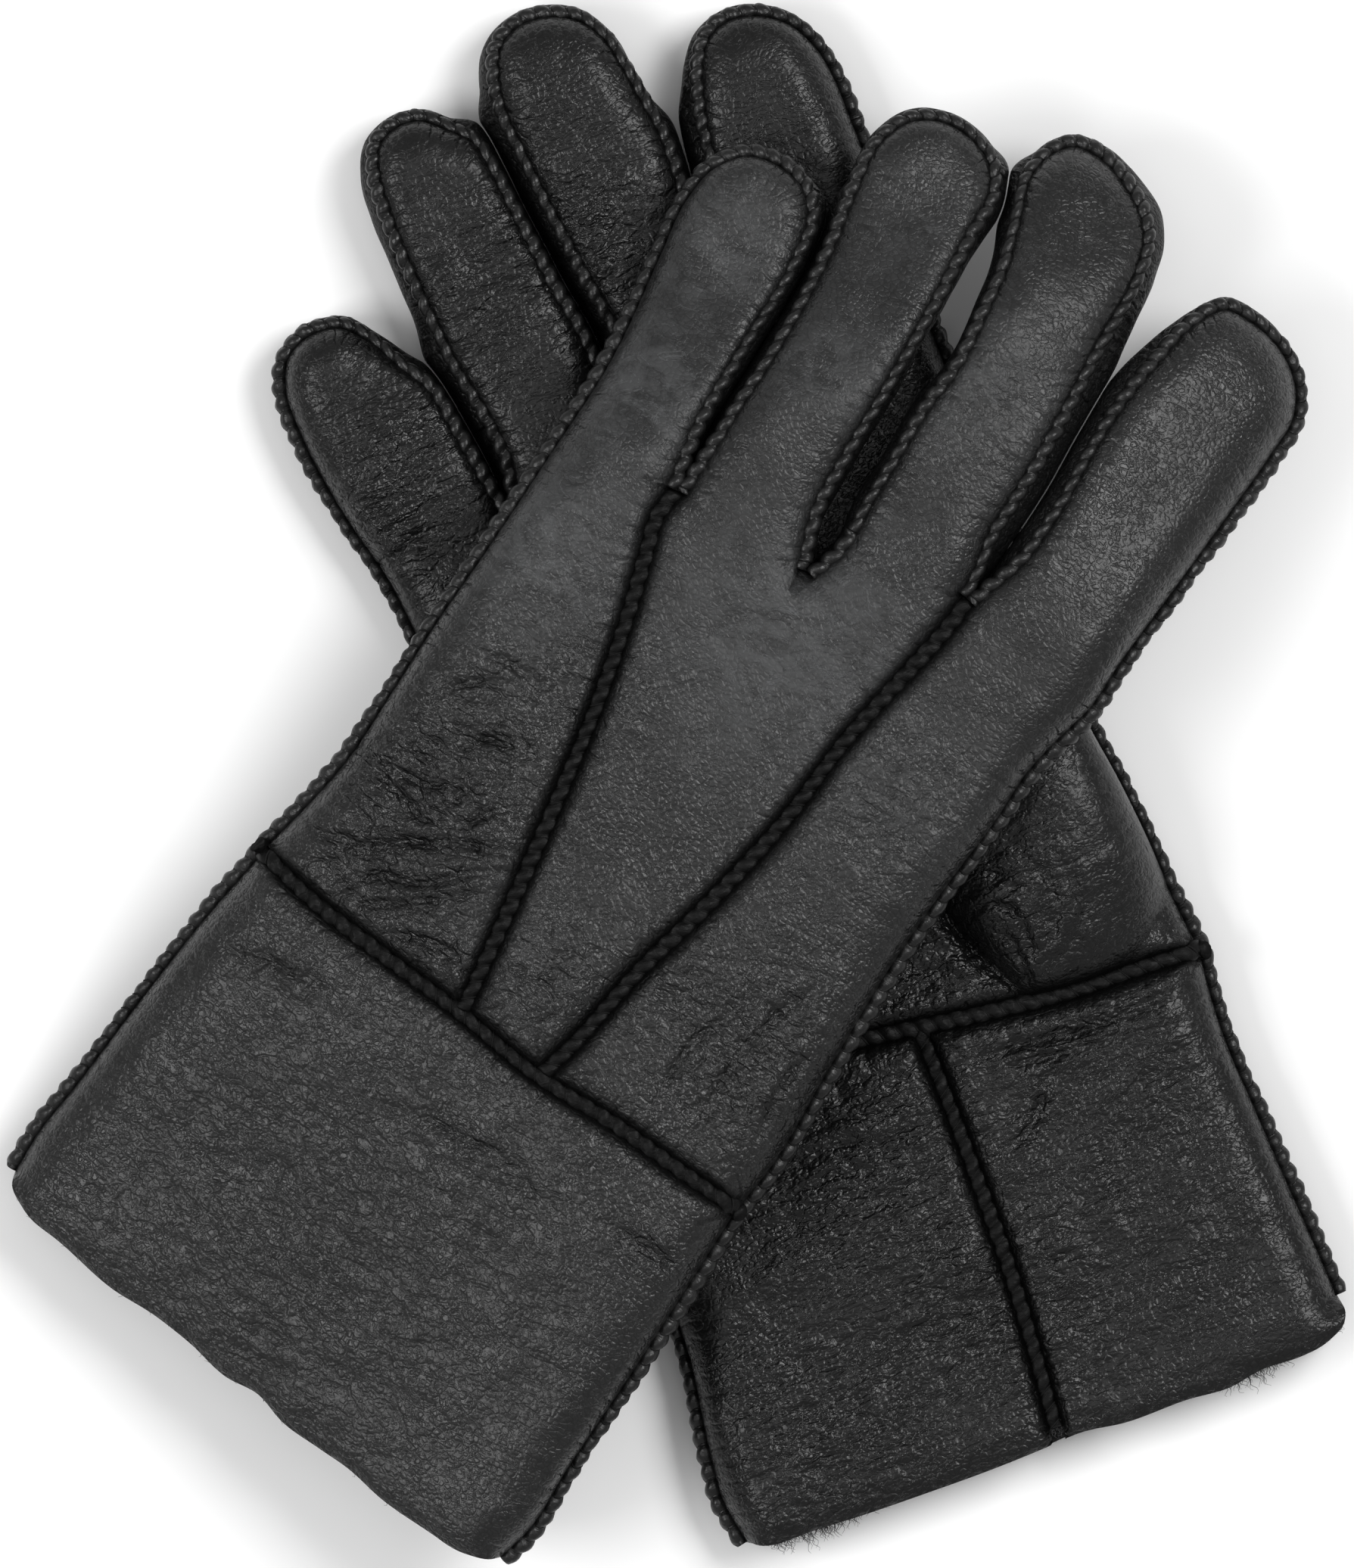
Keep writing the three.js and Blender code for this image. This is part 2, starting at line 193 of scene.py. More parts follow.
def spline(points):
    """A smooth curve through points, with SAMPLES steps to a stitch, and its length so far in stitches."""
    p = np.array(points, float)
    p = np.vstack((2 * p[0] - p[1], p, 2 * p[-1] - p[-2]))
    step = np.diff(lengths(p))
    speed = np.diff(p, axis=0) / step[:, None]
    tangent = speed[:-1] * step[1:, None] + speed[1:] * step[:-1, None]
    tangent /= (step[:-1] + step[1:])[:, None]
    pieces = []
    u = np.linspace(0, 1, FINE_STEPS, endpoint=False)[:, None]
    for i in range(1, len(p) - 2):
        h = step[i]
        a, b, m, n = p[i], p[i + 1], tangent[i - 1] * h, tangent[i] * h
        pieces.append((2 * u**3 - 3 * u**2 + 1) * a + (u**3 - 2 * u**2 + u) * m
                      + (3 * u**2 - 2 * u**3) * b + (u**3 - u**2) * n)
    fine = np.vstack(pieces + [p[-2:-1]])
    length = lengths(fine)
    stitches = max(1, round(length[-1] / PITCH))
    where = np.linspace(0, length[-1], stitches * SAMPLES + 1)
    return interpolate(where, length, fine), where * (stitches * PITCH / length[-1])


def interpolate(where, known, values):
    """Values, or rows of them, between the places where they are known."""
    if values.ndim == 1:
        return np.interp(where, known, values)
    return np.stack([np.interp(where, known, column) for column in values.T], 1)


def value_at(place, values):
    """A curve's values at places given as an index with a fraction."""
    return np.interp(place, np.arange(len(values)), values)


def tangents(curve):
    return unit(np.gradient(curve, axis=0))


def right_of(curve):
    """Unit vectors to the right of a plan curve's direction."""
    way = tangents(curve)
    return np.stack((way[:, 1], -way[:, 0]), 1)


def nearest(p, curve):
    """Each point's distance from a polyline, and the nearest place on it, an index with a fraction."""
    tree = KDTree(len(curve))
    for i, q in enumerate(curve.tolist()):
        tree.insert((q[0], q[1], 0), i)
    tree.balance()
    found = np.fromiter((tree.find((x, y, 0))[1] for x, y in p.tolist()), int, len(p))
    distance, place = np.full(len(p), np.inf), found.astype(float)
    for start in (np.maximum(found - 1, 0), np.minimum(found, len(curve) - 2)):
        way = curve[start + 1] - curve[start]
        share = ((p - curve[start]) * way).sum(1) / np.maximum((way * way).sum(1), 1e-12)
        share = np.clip(share, 0, 1)
        away = np.linalg.norm(p - curve[start] - way * share[:, None], axis=1)
        place = np.where(away < distance, start + share, place)
        distance = np.minimum(distance, away)
    return distance, place


def place_on(point, curve, along):
    """How far along a curve its nearest point to another is."""
    _, place = nearest(np.array([point]), curve)
    return value_at(place[0], along)


def inside(p, loop):
    """Which points lie inside a closed loop."""
    a, b = loop, np.roll(loop, -1, axis=0)
    crossings = np.zeros(len(p), int)
    for (x1, y1), (x2, y2) in zip(a, b):
        if y1 == y2:
            continue
        spans = (p[:, 1] > min(y1, y2)) & (p[:, 1] <= max(y1, y2))
        crossings += spans & (p[:, 0] < x1 + (p[:, 1] - y1) * (x2 - x1) / (y2 - y1))
    return crossings % 2 == 1


class Edge:
    """One side of a panel: where it runs, how far it lies under the crown, and how wide its slope is."""

    def __init__(self, points, along, drop, radius, stitched=True):
        self.points = points
        self.along = along
        self.drop = np.broadcast_to(drop, len(points)).astype(float)
        self.radius = np.broadcast_to(radius, len(points)).astype(float)
        self.stitched = stitched
        self.groove = stitched and bool(np.all(self.drop == GROOVE))

    def chosen(self, which):
        return Edge(*(v[which] for v in (self.points, self.along, self.drop, self.radius)),
                    self.stitched)

    def reversed(self):
        return self.chosen(slice(None, None, -1))

    def clear_of(self, *lines):
        """The edge without its points that are too near other lines, each a curve and a distance."""
        keep = np.ones(len(self.points), bool)
        for curve, gap in lines:
            keep &= nearest(self.points, curve)[0] >= gap
        return self.chosen(keep)


# The gloves' plans --------

# How far a finger's two seams lie above and below its middle, as shares of its half thickness.
TIP_RISE = 0.2
TIP_SPAN = (3, 26)  # how far from the tip the sides begin, and where they are fully there
SIDE_RISE = 0.58  # along a side with a fourchette
EDGE_INSET = 1.9  # from the outline to the panels where back and palm are sewn together
TIP_INSET = 2.7
GROOVE = 3.4  # how deep a seam between two panels lies
GROOVE_WIDTH = 3.8
SIDE_SLOPE = 8.5  # how far in from a sewn side a panel reaches its full height
FINGER_SLOPE = 7.5  # the same beside a fourchette
SEAM_GAP = 1.3  # from the middle of a groove to the panels beside it
FORK_INSET = 1.3  # where two fingers part
FORK_TAPER = 16

left = {
    "name": "left",
    "face": "back",
    "seeds": (3, 13, 23, 41, 5, 7, 9),  # of the panels, in the order that build_hand makes them
    "tufts": [(-60, -139, 6, 0.2)],
    "contours": {
        "little": {
            "tip": (15, 126.2),
            "outer": "first",
            "inset": 2.2,
            "points": [
                (-82.5, -11.3), (-75.4, -4.2), (-66.2, 6.1), (-58.3, 18), (-49.4, 31.9), (-38.5, 47.7),
                (-26.7, 65.5), (-14.8, 84), (-4.9, 105.1), (0.4, 116.5), (5.6, 123), (13.6, 126.2),
                (21.5, 123.8), (27, 118.2), (28.3, 111.5), (25, 102.3), (15, 85.4), (5.1, 68.6),
                (1.2, 60.7), (-0.3, 57.6),
            ],
        },
        "ring": {
            "tip": (49, 133.5),
            "inset": 2.3,
            "points": [
                (0.5, 57.4), (8.1, 71.4), (18.2, 87), (28.1, 105.6), (33, 118), (38.3, 128.2),
                (45, 132.8), (52, 133), (59.2, 129.2), (63.6, 123), (64, 116), (59.1, 106.6),
                (52.2, 93.4), (42.6, 76.7), (32.6, 59.9), (28.3, 51.8), (25.1, 41.8),
            ],
        },
        "middle": {
            "tip": (78, 128.2),
            "inset": 2.6,
            "inset_last": 4.2,
            "points": [
                (25.8, 41.4), (30.3, 45.8), (35.3, 55.5), (41.2, 65.3), (47.1, 75.2), (53.1, 83.2),
                (58, 93.2), (62, 102.1), (64.4, 111), (67.2, 121), (72, 126.2), (78, 128.2),
                (84.5, 125.8), (91, 120), (95.3, 113.2), (96.2, 106.5), (94.2, 99), (86.3, 84.5),
                (78.8, 70.2), (71.8, 57.9), (66.9, 50.2), (62, 43.2), (56.8, 36.4),
            ],
        },
        "index": {
            "tip": (109, 96.3),
            "outer": "last",
            "inset": 3.6,
            "points": [
                (57.2, 35.9), (63, 42.7), (68, 49.6), (73.2, 57.5), (78.6, 67.4), (84.5, 76.5),
                (92.3, 86), (100, 92.8), (108.1, 96.1), (114.6, 93), (120.5, 86.8), (123.7, 78),
                (123.2, 71.6), (118.2, 63.2), (110.1, 51.8), (99.2, 36.9), (88.3, 22.1), (82.6, 13.6),
                (75.9, 7), (70.3, 1), (64.7, -7.5), (54.7, -20.9), (44.6, -35.4), (32.4, -55.5),
                (19, -77.8), (13.4, -84.5),
            ],
        },
    },
    "seams": [
        [
            (0.1, 57.6), (-3.8, 52.7), (-5.9, 45.8), (-8.2, 37.8), (-14.8, 18), (-25.5, -7.8),
            (-33.6, -26.1), (-42.2, -45),
        ],
        [
            (57, 36.1), (52.7, 30.3), (46.7, 23.6), (32.9, 8.4), (21.2, -7), (5.6, -24), (-8.1, -37.3),
            (-20.3, -51), (-26.8, -57.2),
        ],
    ],
    "wrist": [
        (-82.5, -11.8), (-72.3, -22), (-58.1, -33), (-41.7, -45.4), (-28.5, -56.3), (-11.1, -67.4),
        (1, -76), (13.4, -84.5),
    ],
    "cuff_outer": [
        (-132, -75), (-127.4, -67.4), (-120.3, -58.6), (-106, -39.8), (-92.8, -23.3), (-82.5, -11.8),
    ],
    "cuff_inner": [
        (13.4, -84.5), (3.2, -100.6), (-7, -116.4), (-19.3, -134.8), (-28.5, -149), (-33, -153.2),
    ],
    "hem": [
        (-33, -153.2), (-36.5, -153.6), (-41.7, -151.6), (-47.9, -147.4), (-58.1, -140.4),
        (-64.5, -134.6), (-70.3, -130.6), (-77.4, -125.6), (-82.5, -119.9), (-88.7, -116.6),
        (-95.8, -110), (-103, -104.4), (-111.1, -99.4), (-121.3, -90.4), (-129, -84), (-132.3, -79),
        (-132, -75),
    ],
    "cuff_seam": [(-32.5, -53), (-44, -70), (-58, -92), (-72, -112), (-80.5, -122.6)],
    "thumb": {"base": (30, -25), "half_width": 15, "tip": (14, 30), "radius": 12.5},
    "turn": math.radians(-37.2),
    "creases": [
        (-75, -85, 55, 0.42), (-52, 0, 24, 0.95), (-60, -14, 16, 1.0), (15, -55, 22, 0.75),
        (-25, -38, 14, 0.8), (0, -40, 16, 0.55), (-20, 20, 16, 0.5), (-50, -80, 45, 0.35),
        (-95, -75, 25, 0.3), (40, -5, 16, 0.45), (62, 75, 12, 0.3),
    ],
    "folds": [
        ([(-65, 8.5), (-58, 4.5), (-49.8, 0.1), (-42, -1)], 1.5, 0.9),
        ([(-68, 3.3), (-60.4, 3.3), (-54, -1.6), (-49, -9.8)], 1.3, 0.8),
        ([(-46.5, 18.1), (-38.3, 20.1), (-31.7, 19.7)], 0.8, 0.8),
        ([(-41.6, 5.8), (-36.6, 9.1), (-30.9, 8.6), (-26.8, 5)], 0.9, 0.8),
        ([(-46.5, -4.9), (-39.9, -0.8), (-35, -1.6)], 0.9, 0.8),
        ([(-43.2, -9.8), (-36.6, -5.7), (-30.1, -4.9)], 0.8, 0.8),
        ([(-65.4, -19.7), (-58, -18), (-49.8, -19.7), (-43.2, -18), (-35, -17.2)], 1.1, 0.9),
        ([(-63.7, -23.5), (-56.3, -23.5), (-48.1, -22.6), (-38.3, -21.2)], 0.9, 0.8),
        ([(-58, -29.5), (-49.8, -30.3), (-43.2, -34.5), (-39.9, -39.4)], 1.2, 0.9),
        ([(-74, -8.2), (-60, -12), (-49.8, -11.3), (-38, -12.4), (-27.8, -14.5)], 1.3, 1.0),
        ([(-44, 12), (-36, 8), (-28, 6.5)], 0.7, 0.9),
        ([(-40, 26), (-31, 23), (-24, 15)], 0.6, 0.9),
        ([(4, -69), (9, -58), (20, -45), (30, -39)], 0.8, 1.0),
        ([(-4, -62), (2, -52), (12, -44)], 0.7, 0.8),
        ([(16, -70), (20, -60), (27, -52)], 0.8, 0.9),
        ([(-90, -32), (-78, -36), (-66, -42)], 0.7, 1.1),
        ([(-60, -62), (-40, -70), (-24, -84)], 0.6, 1.2),
        ([(-14, -86), (-4, -92), (2, -97)], 0.8, 1.0),
    ],
    "haze": [
        (-24, 48, 20, 0.9), (-8, 78, 18, 0.9), (8, 105, 16, 0.8), (22, 28, 26, 0.9), (30, 82, 16, 0.6),
        (60, 78, 18, 0.6), (46, 108, 14, 0.4), (42, 0, 20, 0.4), (-30, -30, 14, 0.3),
    ],
}

right = {
    "name": "right",
    "face": "palm",
    "seeds": (57, 67, 77, 83, 91, 93, 95),
    "tufts": [(27, -147, 10, 1.0), (113, -116, 6, 1.0)],
    "contours": {
        "little": {
            "tip": (-67, 92.6),
            "outer": "first",
            "inset": 2.2,
            "points": [
                (-18, -64.5), (-31.5, -25), (-45, 9), (-53.2, 28.4), (-58, 38), (-68, 53), (-76, 68),
                (-79.2, 77), (-78.8, 85), (-73.5, 91), (-66, 92.7), (-59, 89.4), (-52.4, 83.6),
                (-47.6, 79.9), (-42.5, 71.6), (-38.5, 64.6), (-31.8, 51.2),
            ],
        },
        "ring": {
            "tip": (-52, 133.5),
            "inset": 4.0,
            "inset_last": 2.0,
            "points": [
                (-31.2, 50.8), (-37.8, 65), (-41.7, 72.2), (-47, 80.8), (-51.6, 90.3), (-56.6, 101.2),
                (-60.6, 111), (-62.8, 119.5), (-61.8, 127), (-57, 131.8), (-50.5, 133.6),
                (-44.5, 131.6), (-38.4, 128.2), (-34.7, 121.9), (-30.3, 113.1), (-25.9, 104.8),
                (-22.5, 98.3), (-17.5, 89.8), (-10.5, 72.8), (-4.3, 57.6),
            ],
        },
        "middle": {
            "tip": (-26, 154.2),
            "inset": 4.0,
            "inset_last": 2.0,
            "points": [
                (-3.7, 57.4), (-9.5, 73.2), (-16.5, 90.2), (-21.5, 98.7), (-24.9, 105.2),
                (-29.3, 113.5), (-33.7, 122.5), (-37.6, 130.5), (-39.4, 138), (-38.2, 146.5),
                (-33, 151.8), (-26, 154), (-19, 153.3), (-12.8, 148.8), (-8.6, 142), (-4.9, 135.3),
                (-1.6, 129.5), (1.2, 121.8), (5.5, 107.8), (12.5, 91.8), (22.7, 72.2),
            ],
        },
        "index": {
            "tip": (13, 154.2),
            "outer": "last",
            "inset": 4.0,
            "inset_last": 2.0,
            "points": [
                (23.3, 72), (13.5, 92.2), (6.5, 108.2), (3.4, 121.6), (1, 133), (0.9, 141.5),
                (3.4, 148.6), (8.8, 153), (15.5, 154.3), (23, 152.3), (28.9, 146.8), (32.9, 139.9),
                (36.5, 131), (47, 103), (60, 70), (72, 40), (82.9, 12.2), (88.2, 2.6), (93.8, -8.6),
                (99.3, -20.9), (104.9, -32),
            ],
        },
    },
    "seams": [
        [(-31.5, 51), (-24, 36), (-14, 12), (-3, -14), (6, -38), (12, -56.2)],
        [(23, 72), (34, 47), (46, 18), (56, -10), (63, -32), (66, -43.8)],
    ],
    "wrist": [
        (-18, -64.5), (0, -59.3), (20, -54.5), (38.5, -49.9), (60.3, -45.2), (79.2, -40.4), (92, -36),
        (104.9, -32),
    ],
    "cuff_outer": [(12, -150.5), (7.3, -142.5), (4.5, -132.5), (0.5, -114), (-9, -88), (-18, -64.5)],
    "cuff_inner": [
        (104.9, -32), (106.6, -39), (110.5, -51), (115.4, -62.2), (121.7, -76.7), (127.2, -89),
        (131.9, -100),
    ],
    "hem": [
        (131.9, -100), (133, -103.8), (132.2, -106.6), (128.8, -109.7), (122.8, -112.8), (115, -115.4),
        (109, -118.8), (100.4, -121.3), (88.2, -125.8), (80, -127.6), (71.5, -131.2), (61, -135.4),
        (49.1, -139.7), (37.9, -143.6), (26, -147.4), (15.5, -151.3), (12, -150.5),
    ],
    "cuff_seam": [(47.6, -47.9), (53.6, -63), (59.2, -78), (65.3, -95), (70.5, -112), (75.3, -129.4)],
    "thumb": {"base": (74, -12), "half_width": 15, "tip": (57, 43), "radius": 12.5},
    "turn": math.radians(20),
    "creases": [
        (-62, 50, 18, 0.9), (-40, 95, 16, 0.6), (-22, 108, 16, 0.95), (-58, 66, 16, 0.7),
        (66, -24, 18, 0.7), (48, -42, 14, 0.7), (35, -75, 28, 0.9), (62, -100, 26, 0.9),
        (92, -60, 20, 0.5), (-28, 130, 12, 0.4), (30, -125, 25, 0.7), (100, -90, 20, 0.4),
    ],
    "folds": [
        ([(46, -13), (51, -22), (55, -28.5), (60.3, -34.2), (66, -39.6), (69.8, -43.5)], 3.4, 1.4),
        ([(53, -20.5), (58, -17.5), (63, -18), (67, -21)], 0.8, 0.8),
        ([(57, -26.5), (60.5, -24), (65, -24.5), (68.5, -29), (70, -35)], 1.0, 0.8),
        ([(61.5, -31.5), (65, -30.5), (67.5, -34), (69, -39)], 1.0, 0.8),
        ([(52, -32), (57, -35.5), (60, -40)], 0.8, 0.8),
        ([(55, -31.5), (60, -37), (64, -42)], 0.7, 0.8),
        ([(70, -10), (77, -17), (79.5, -26), (75, -35)], 0.6, 1.0),
        ([(66, -12), (73, -19), (74.5, -27), (72, -34)], 0.7, 0.9),
        ([(57.8, -54.5), (71.3, -50.8), (87.5, -46), (98, -40.5)], 1.1, 1.1),
        ([(60, -57), (72, -54), (84, -51)], 0.7, 0.9),
        ([(73, -55), (71, -65), (66, -72)], 0.8, 0.9),
        ([(83, -70), (86, -80), (90, -88)], 0.6, 1.0),
        ([(-64, 42), (-57, 44), (-50, 50)], 0.8, 0.9),
        ([(-60, 48), (-53, 52), (-46, 58)], 0.6, 0.8),
    ],
    "haze": [(85, -15, 22, 0.2)],
}


def contour(plan, finger):
    """A finger's outline from fork to fork, with its panels' inset, its seams' rise, and its stitches."""
    given = plan["contours"][finger]
    curve, along = spline(given["points"])
    tip = place_on(given["tip"], curve, along)
    before = along < tip
    from_tip = np.abs(along - tip)
    outer = {"first": before, "last": ~before}.get(given.get("outer"), np.zeros(len(along), bool))
    far = smoothstep(from_tip, *TIP_SPAN)
    side_inset = np.where(before, given["inset"], given.get("inset_last", given["inset"]))
    side_inset = np.where(outer, EDGE_INSET, side_inset)
    inset = TIP_INSET + (side_inset - TIP_INSET) * far
    from_fork = np.full(len(along), FORK_TAPER, float)
    if given.get("outer") != "first":
        from_fork = np.minimum(from_fork, along)
    if given.get("outer") != "last":
        from_fork = np.minimum(from_fork, along[-1] - along)
    inset = FORK_INSET + (inset - FORK_INSET) * smoothstep(from_fork, 0, FORK_TAPER)
    rise = TIP_RISE + (np.where(outer, 0.0, SIDE_RISE) - TIP_RISE) * far
    return {"curve": curve, "along": along, "inset": inset, "rise": rise, "outer": outer,
            "panel": curve + right_of(curve) * inset[:, None]}


def side_edge(shape):
    drop = HALF * (1 - shape["rise"])
    radius = FINGER_SLOPE + 2.5 * (1 - shape["rise"] / SIDE_RISE)
    return Edge(shape["panel"], shape["along"], drop, radius)


def groove_edge(curve, along, side):
    return Edge(curve + right_of(curve) * side * SEAM_GAP, along, GROOVE, GROOVE_WIDTH)


def straight_sides(plan):
    """The cuff's two sewn sides, as edges on the panels' side of the outline."""
    sides = {}
    for name in ("cuff_outer", "cuff_inner"):
        curve, along = spline(plan[name])
        panel = curve + right_of(curve) * EDGE_INSET
        sides[name] = {"curve": curve, "along": along, "panel": panel}
    return sides


# Panels --------


def loop_of(edges):
    """The closed loop of a panel's edges, one after the other, with no two points alike."""
    points = np.vstack([e.points for e in edges])
    keep = np.linalg.norm(points - np.roll(points, 1, axis=0), axis=1) > 0.05
    points = points[keep]
    ahead = np.roll(points, -1, axis=0)
    area = np.sum(points[:, 0] * ahead[:, 1] - ahead[:, 0] * points[:, 1])
    return points if area > 0 else points[::-1]


def panel_points(edges, loop, lines):
    """Points inside a panel: rows along its seams and its creases, and an even field in the middle."""
    rows = []
    creases = [spline(points)[0] for points, _, _ in lines]
    for line in creases:
        rows += [(line + right_of(line) * r, CREASE_GAP) for r in CREASE_ROWS]
    for e in edges:
        if not e.stitched:
            continue
        for side in (1, -1):
            rows += [(e.points + right_of(e.points) * side * r, 0.8 * r) for r in RINGS]
    gap = 0.6 * SPACING  # from those rows to the field
    low, high = loop.min(0), loop.max(0)
    xs = np.arange(low[0], high[0], SPACING)
    ys = np.arange(low[1], high[1], SPACING * math.sqrt(3) / 2)
    grid = np.stack(np.meshgrid(xs, ys), -1)
    grid[1::2, :, 0] += SPACING / 2
    grid = grid.reshape(-1, 2)
    for line in creases:
        grid = grid[nearest(grid, line)[0] > max(CREASE_ROWS) + gap]
    rows.append((grid, RINGS[-1] + gap))
    clearance = np.concatenate([np.full(len(points), away) for points, away in rows])
    p = np.vstack([points for points, _ in rows])
    good = inside(p, loop)
    p, clearance = p[good], clearance[good]
    good = np.ones(len(p), bool)
    for e in edges:
        good &= nearest(p, e.points)[0] > (clearance if e.stitched else 0.5 * SPACING)
    return p[good]


def triangulate(edges, lines=()):
    loop = loop_of(edges)
    middle = panel_points(edges, loop, lines)
    points = [Vector(q) for q in np.vstack((loop, middle)).tolist()]
    made = delaunay_2d_cdt(points, [], [list(range(len(loop)))], 1, 1e-4, False)
    p = np.array([tuple(v) for v in made[0]])
    triangles = np.array([f for f in made[2] if len(f) == 3])
    return p, triangles[inside(p[triangles].mean(1), loop)]


def crown(x, power=2.3):
    """From 0 at a seam to 1 on the crown, steep at first."""
    x = np.clip(x, 0, 1)
    return (1 - (1 - x) ** power) ** (1 / power)


SEAM_FADE = 6  # how far from a seam the leather has its full thickness and lumps
CROWN, GROOVE_CROWN = 2.3, 1.8  # how square a panel's slope is
PUCKER, GROOVE_PUCKER = 0.3, 0.42  # how far the stitches gather the leather
PUCKER_REACH = 2.4
SEAM_SKIN = 0.15  # what is left of a skin at a seam
FLOOR_GAP = 0.02


class Surface:
    """A panel's plan mesh with its heights, and what its material needs to know of its seams."""

    def __init__(self, plan, edges, top, half=HALF, middle=None, mound=None, seed=0):
        self.plan, self.top = plan, top
        lines = plan["folds"] if top and middle is None else ()
        self.p, self.triangles = triangulate(edges, lines)
        p, face = self.p, 1 if top else -1
        drop, pucker, thin = self.sew(edges, seed)
        drop = np.minimum(drop, half - SEAM_SKIN)
        folded, near_fold = folds(p, lines)
        self.crease = np.maximum(blobs(p, plan["creases"]), near_fold)
        self.haze = blobs(p, plan["haze"])
        lumps = self.relief(p, seed) * smoothstep(self.seam_distance, 0, SEAM_FADE)
        height = half - drop + pucker + lumps
        if mound:
            height = height + mound(p)
        z = (middle(p) if middle else HALF) + face * (height + folded)
        inner = z - face * np.minimum(SKIN * thin + SEAM_SKIN, np.maximum(half - drop - 0.1, 0.12))
        if plan is right and not top:
            z = np.maximum(z, FLOOR_GAP)
            inner = np.maximum(inner, z + 0.1)
        self.outer, self.inner = resting(plan, p, z), resting(plan, p, inner)

    def sew(self, edges, seed):
        """How far the edges pull the panel down, how they gather it, and how thin they press it."""
        count = len(self.p)
        drop, pucker, thin = np.zeros(count), np.zeros(count), np.ones(count)
        self.seam_distance, self.seam_along = np.full(count, 99.0), np.zeros(count)
        self.groove = np.zeros(count)
        for e in edges:
            distance, place = nearest(self.p, e.points)
            power, pull = (GROOVE_CROWN, GROOVE_PUCKER) if e.groove else (CROWN, PUCKER)
            share = 1 - crown(distance / value_at(place, e.radius), power)
            drop += (value_at(place, e.drop) * share) ** 3
            if not e.stitched:
                continue
            along = value_at(place, e.along)
            closer = distance < self.seam_distance
            self.seam_distance = np.where(closer, distance, self.seam_distance)
            self.seam_along = np.where(closer, along, self.seam_along)
            wave = 1 - 2 * np.abs(np.sin(math.pi * along / PITCH)) ** 0.7
            wave = wave * (0.75 + 0.5 * noise(along / 8, distance / 8, seed + 8))
            pucker -= pull * wave * np.exp(-distance / PUCKER_REACH) * smoothstep(distance, 0, 0.8)
            # How near a groove: there the leather gets painted shade, more roughness and less shine.
            if e.groove:
                self.groove = np.maximum(self.groove, 1 - smoothstep(distance, 0.2, 2.4))
            thin = np.minimum(thin, crown(distance / SEAM_FADE))
        return drop ** (1 / 3), pucker, thin

    def relief(self, p, seed):
        """Soft lumps all over, and folds where the leather is creased."""
        turn = self.plan["turn"]
        u = p[:, 0] * math.cos(turn) + p[:, 1] * math.sin(turn)
        v = -p[:, 0] * math.sin(turn) + p[:, 1] * math.cos(turn)
        lumps = 0.8 * noise(p[:, 0] / 30, p[:, 1] / 30, seed + 1)
        lumps += 0.34 * noise(p[:, 0] / 12, p[:, 1] / 12, seed + 2)
        lumps += 0.2 * self.crease * noise(u / 7, v / 4.5, seed + 6)
        bend = noise(u / 18, v / 18, seed + 3)
        folds = ridges(u / 17 + bend, v / 5 + 0.8 * bend, seed + 4) ** 2
        small = ridges(u / 9, v / 3.4 + 1.2 * bend, seed + 5) ** 2
        return lumps - (0.75 * folds + 0.4 * small) * (0.12 + self.crease)

    def normals(self):
        a, b, c = (self.outer[self.triangles[:, k]] for k in range(3))
        facet = np.cross(b - a, c - a)
        if not self.top:
            facet = -facet
        normal = np.zeros_like(self.outer)
        for k in range(3):
            np.add.at(normal, self.triangles[:, k], facet)
        return unit(normal)


# Meshes --------


def placed(name, data, place=(0, 0, 0)):
    made = bpy.data.objects.new(name, data)
    bpy.context.scene.collection.objects.link(made)
    made.location = place
    return made


def new_object(name, vertices, faces, materials, face_materials=None, normals=None, floats=None,
               uv=None):
    mesh = bpy.data.meshes.new(name)
    mesh.from_pydata((np.asarray(vertices) * MM).tolist(), [], [list(map(int, f)) for f in faces])
    for material in materials:
        mesh.materials.append(material)
    if face_materials is not None:
        mesh.polygons.foreach_set("material_index", np.asarray(face_materials, np.int32))
    mesh.polygons.foreach_set("use_smooth", np.ones(len(mesh.polygons), bool))
    for key, values in (floats or {}).items():
        layer = mesh.attributes.new(key, "FLOAT", "POINT")
        layer.data.foreach_set("value", np.asarray(values, np.float32))
    if uv is not None:
        layer = mesh.uv_layers.new(name="seam")
        corners = np.zeros(len(mesh.loops), np.int32)
        mesh.loops.foreach_get("vertex_index", corners)
        layer.data.foreach_set("uv", np.asarray(uv, np.float32)[corners].ravel())
    mesh.update()
    if normals is not None:
        mesh.normals_split_custom_set_from_vertices(np.asarray(normals).tolist())
    return placed(name, mesh)


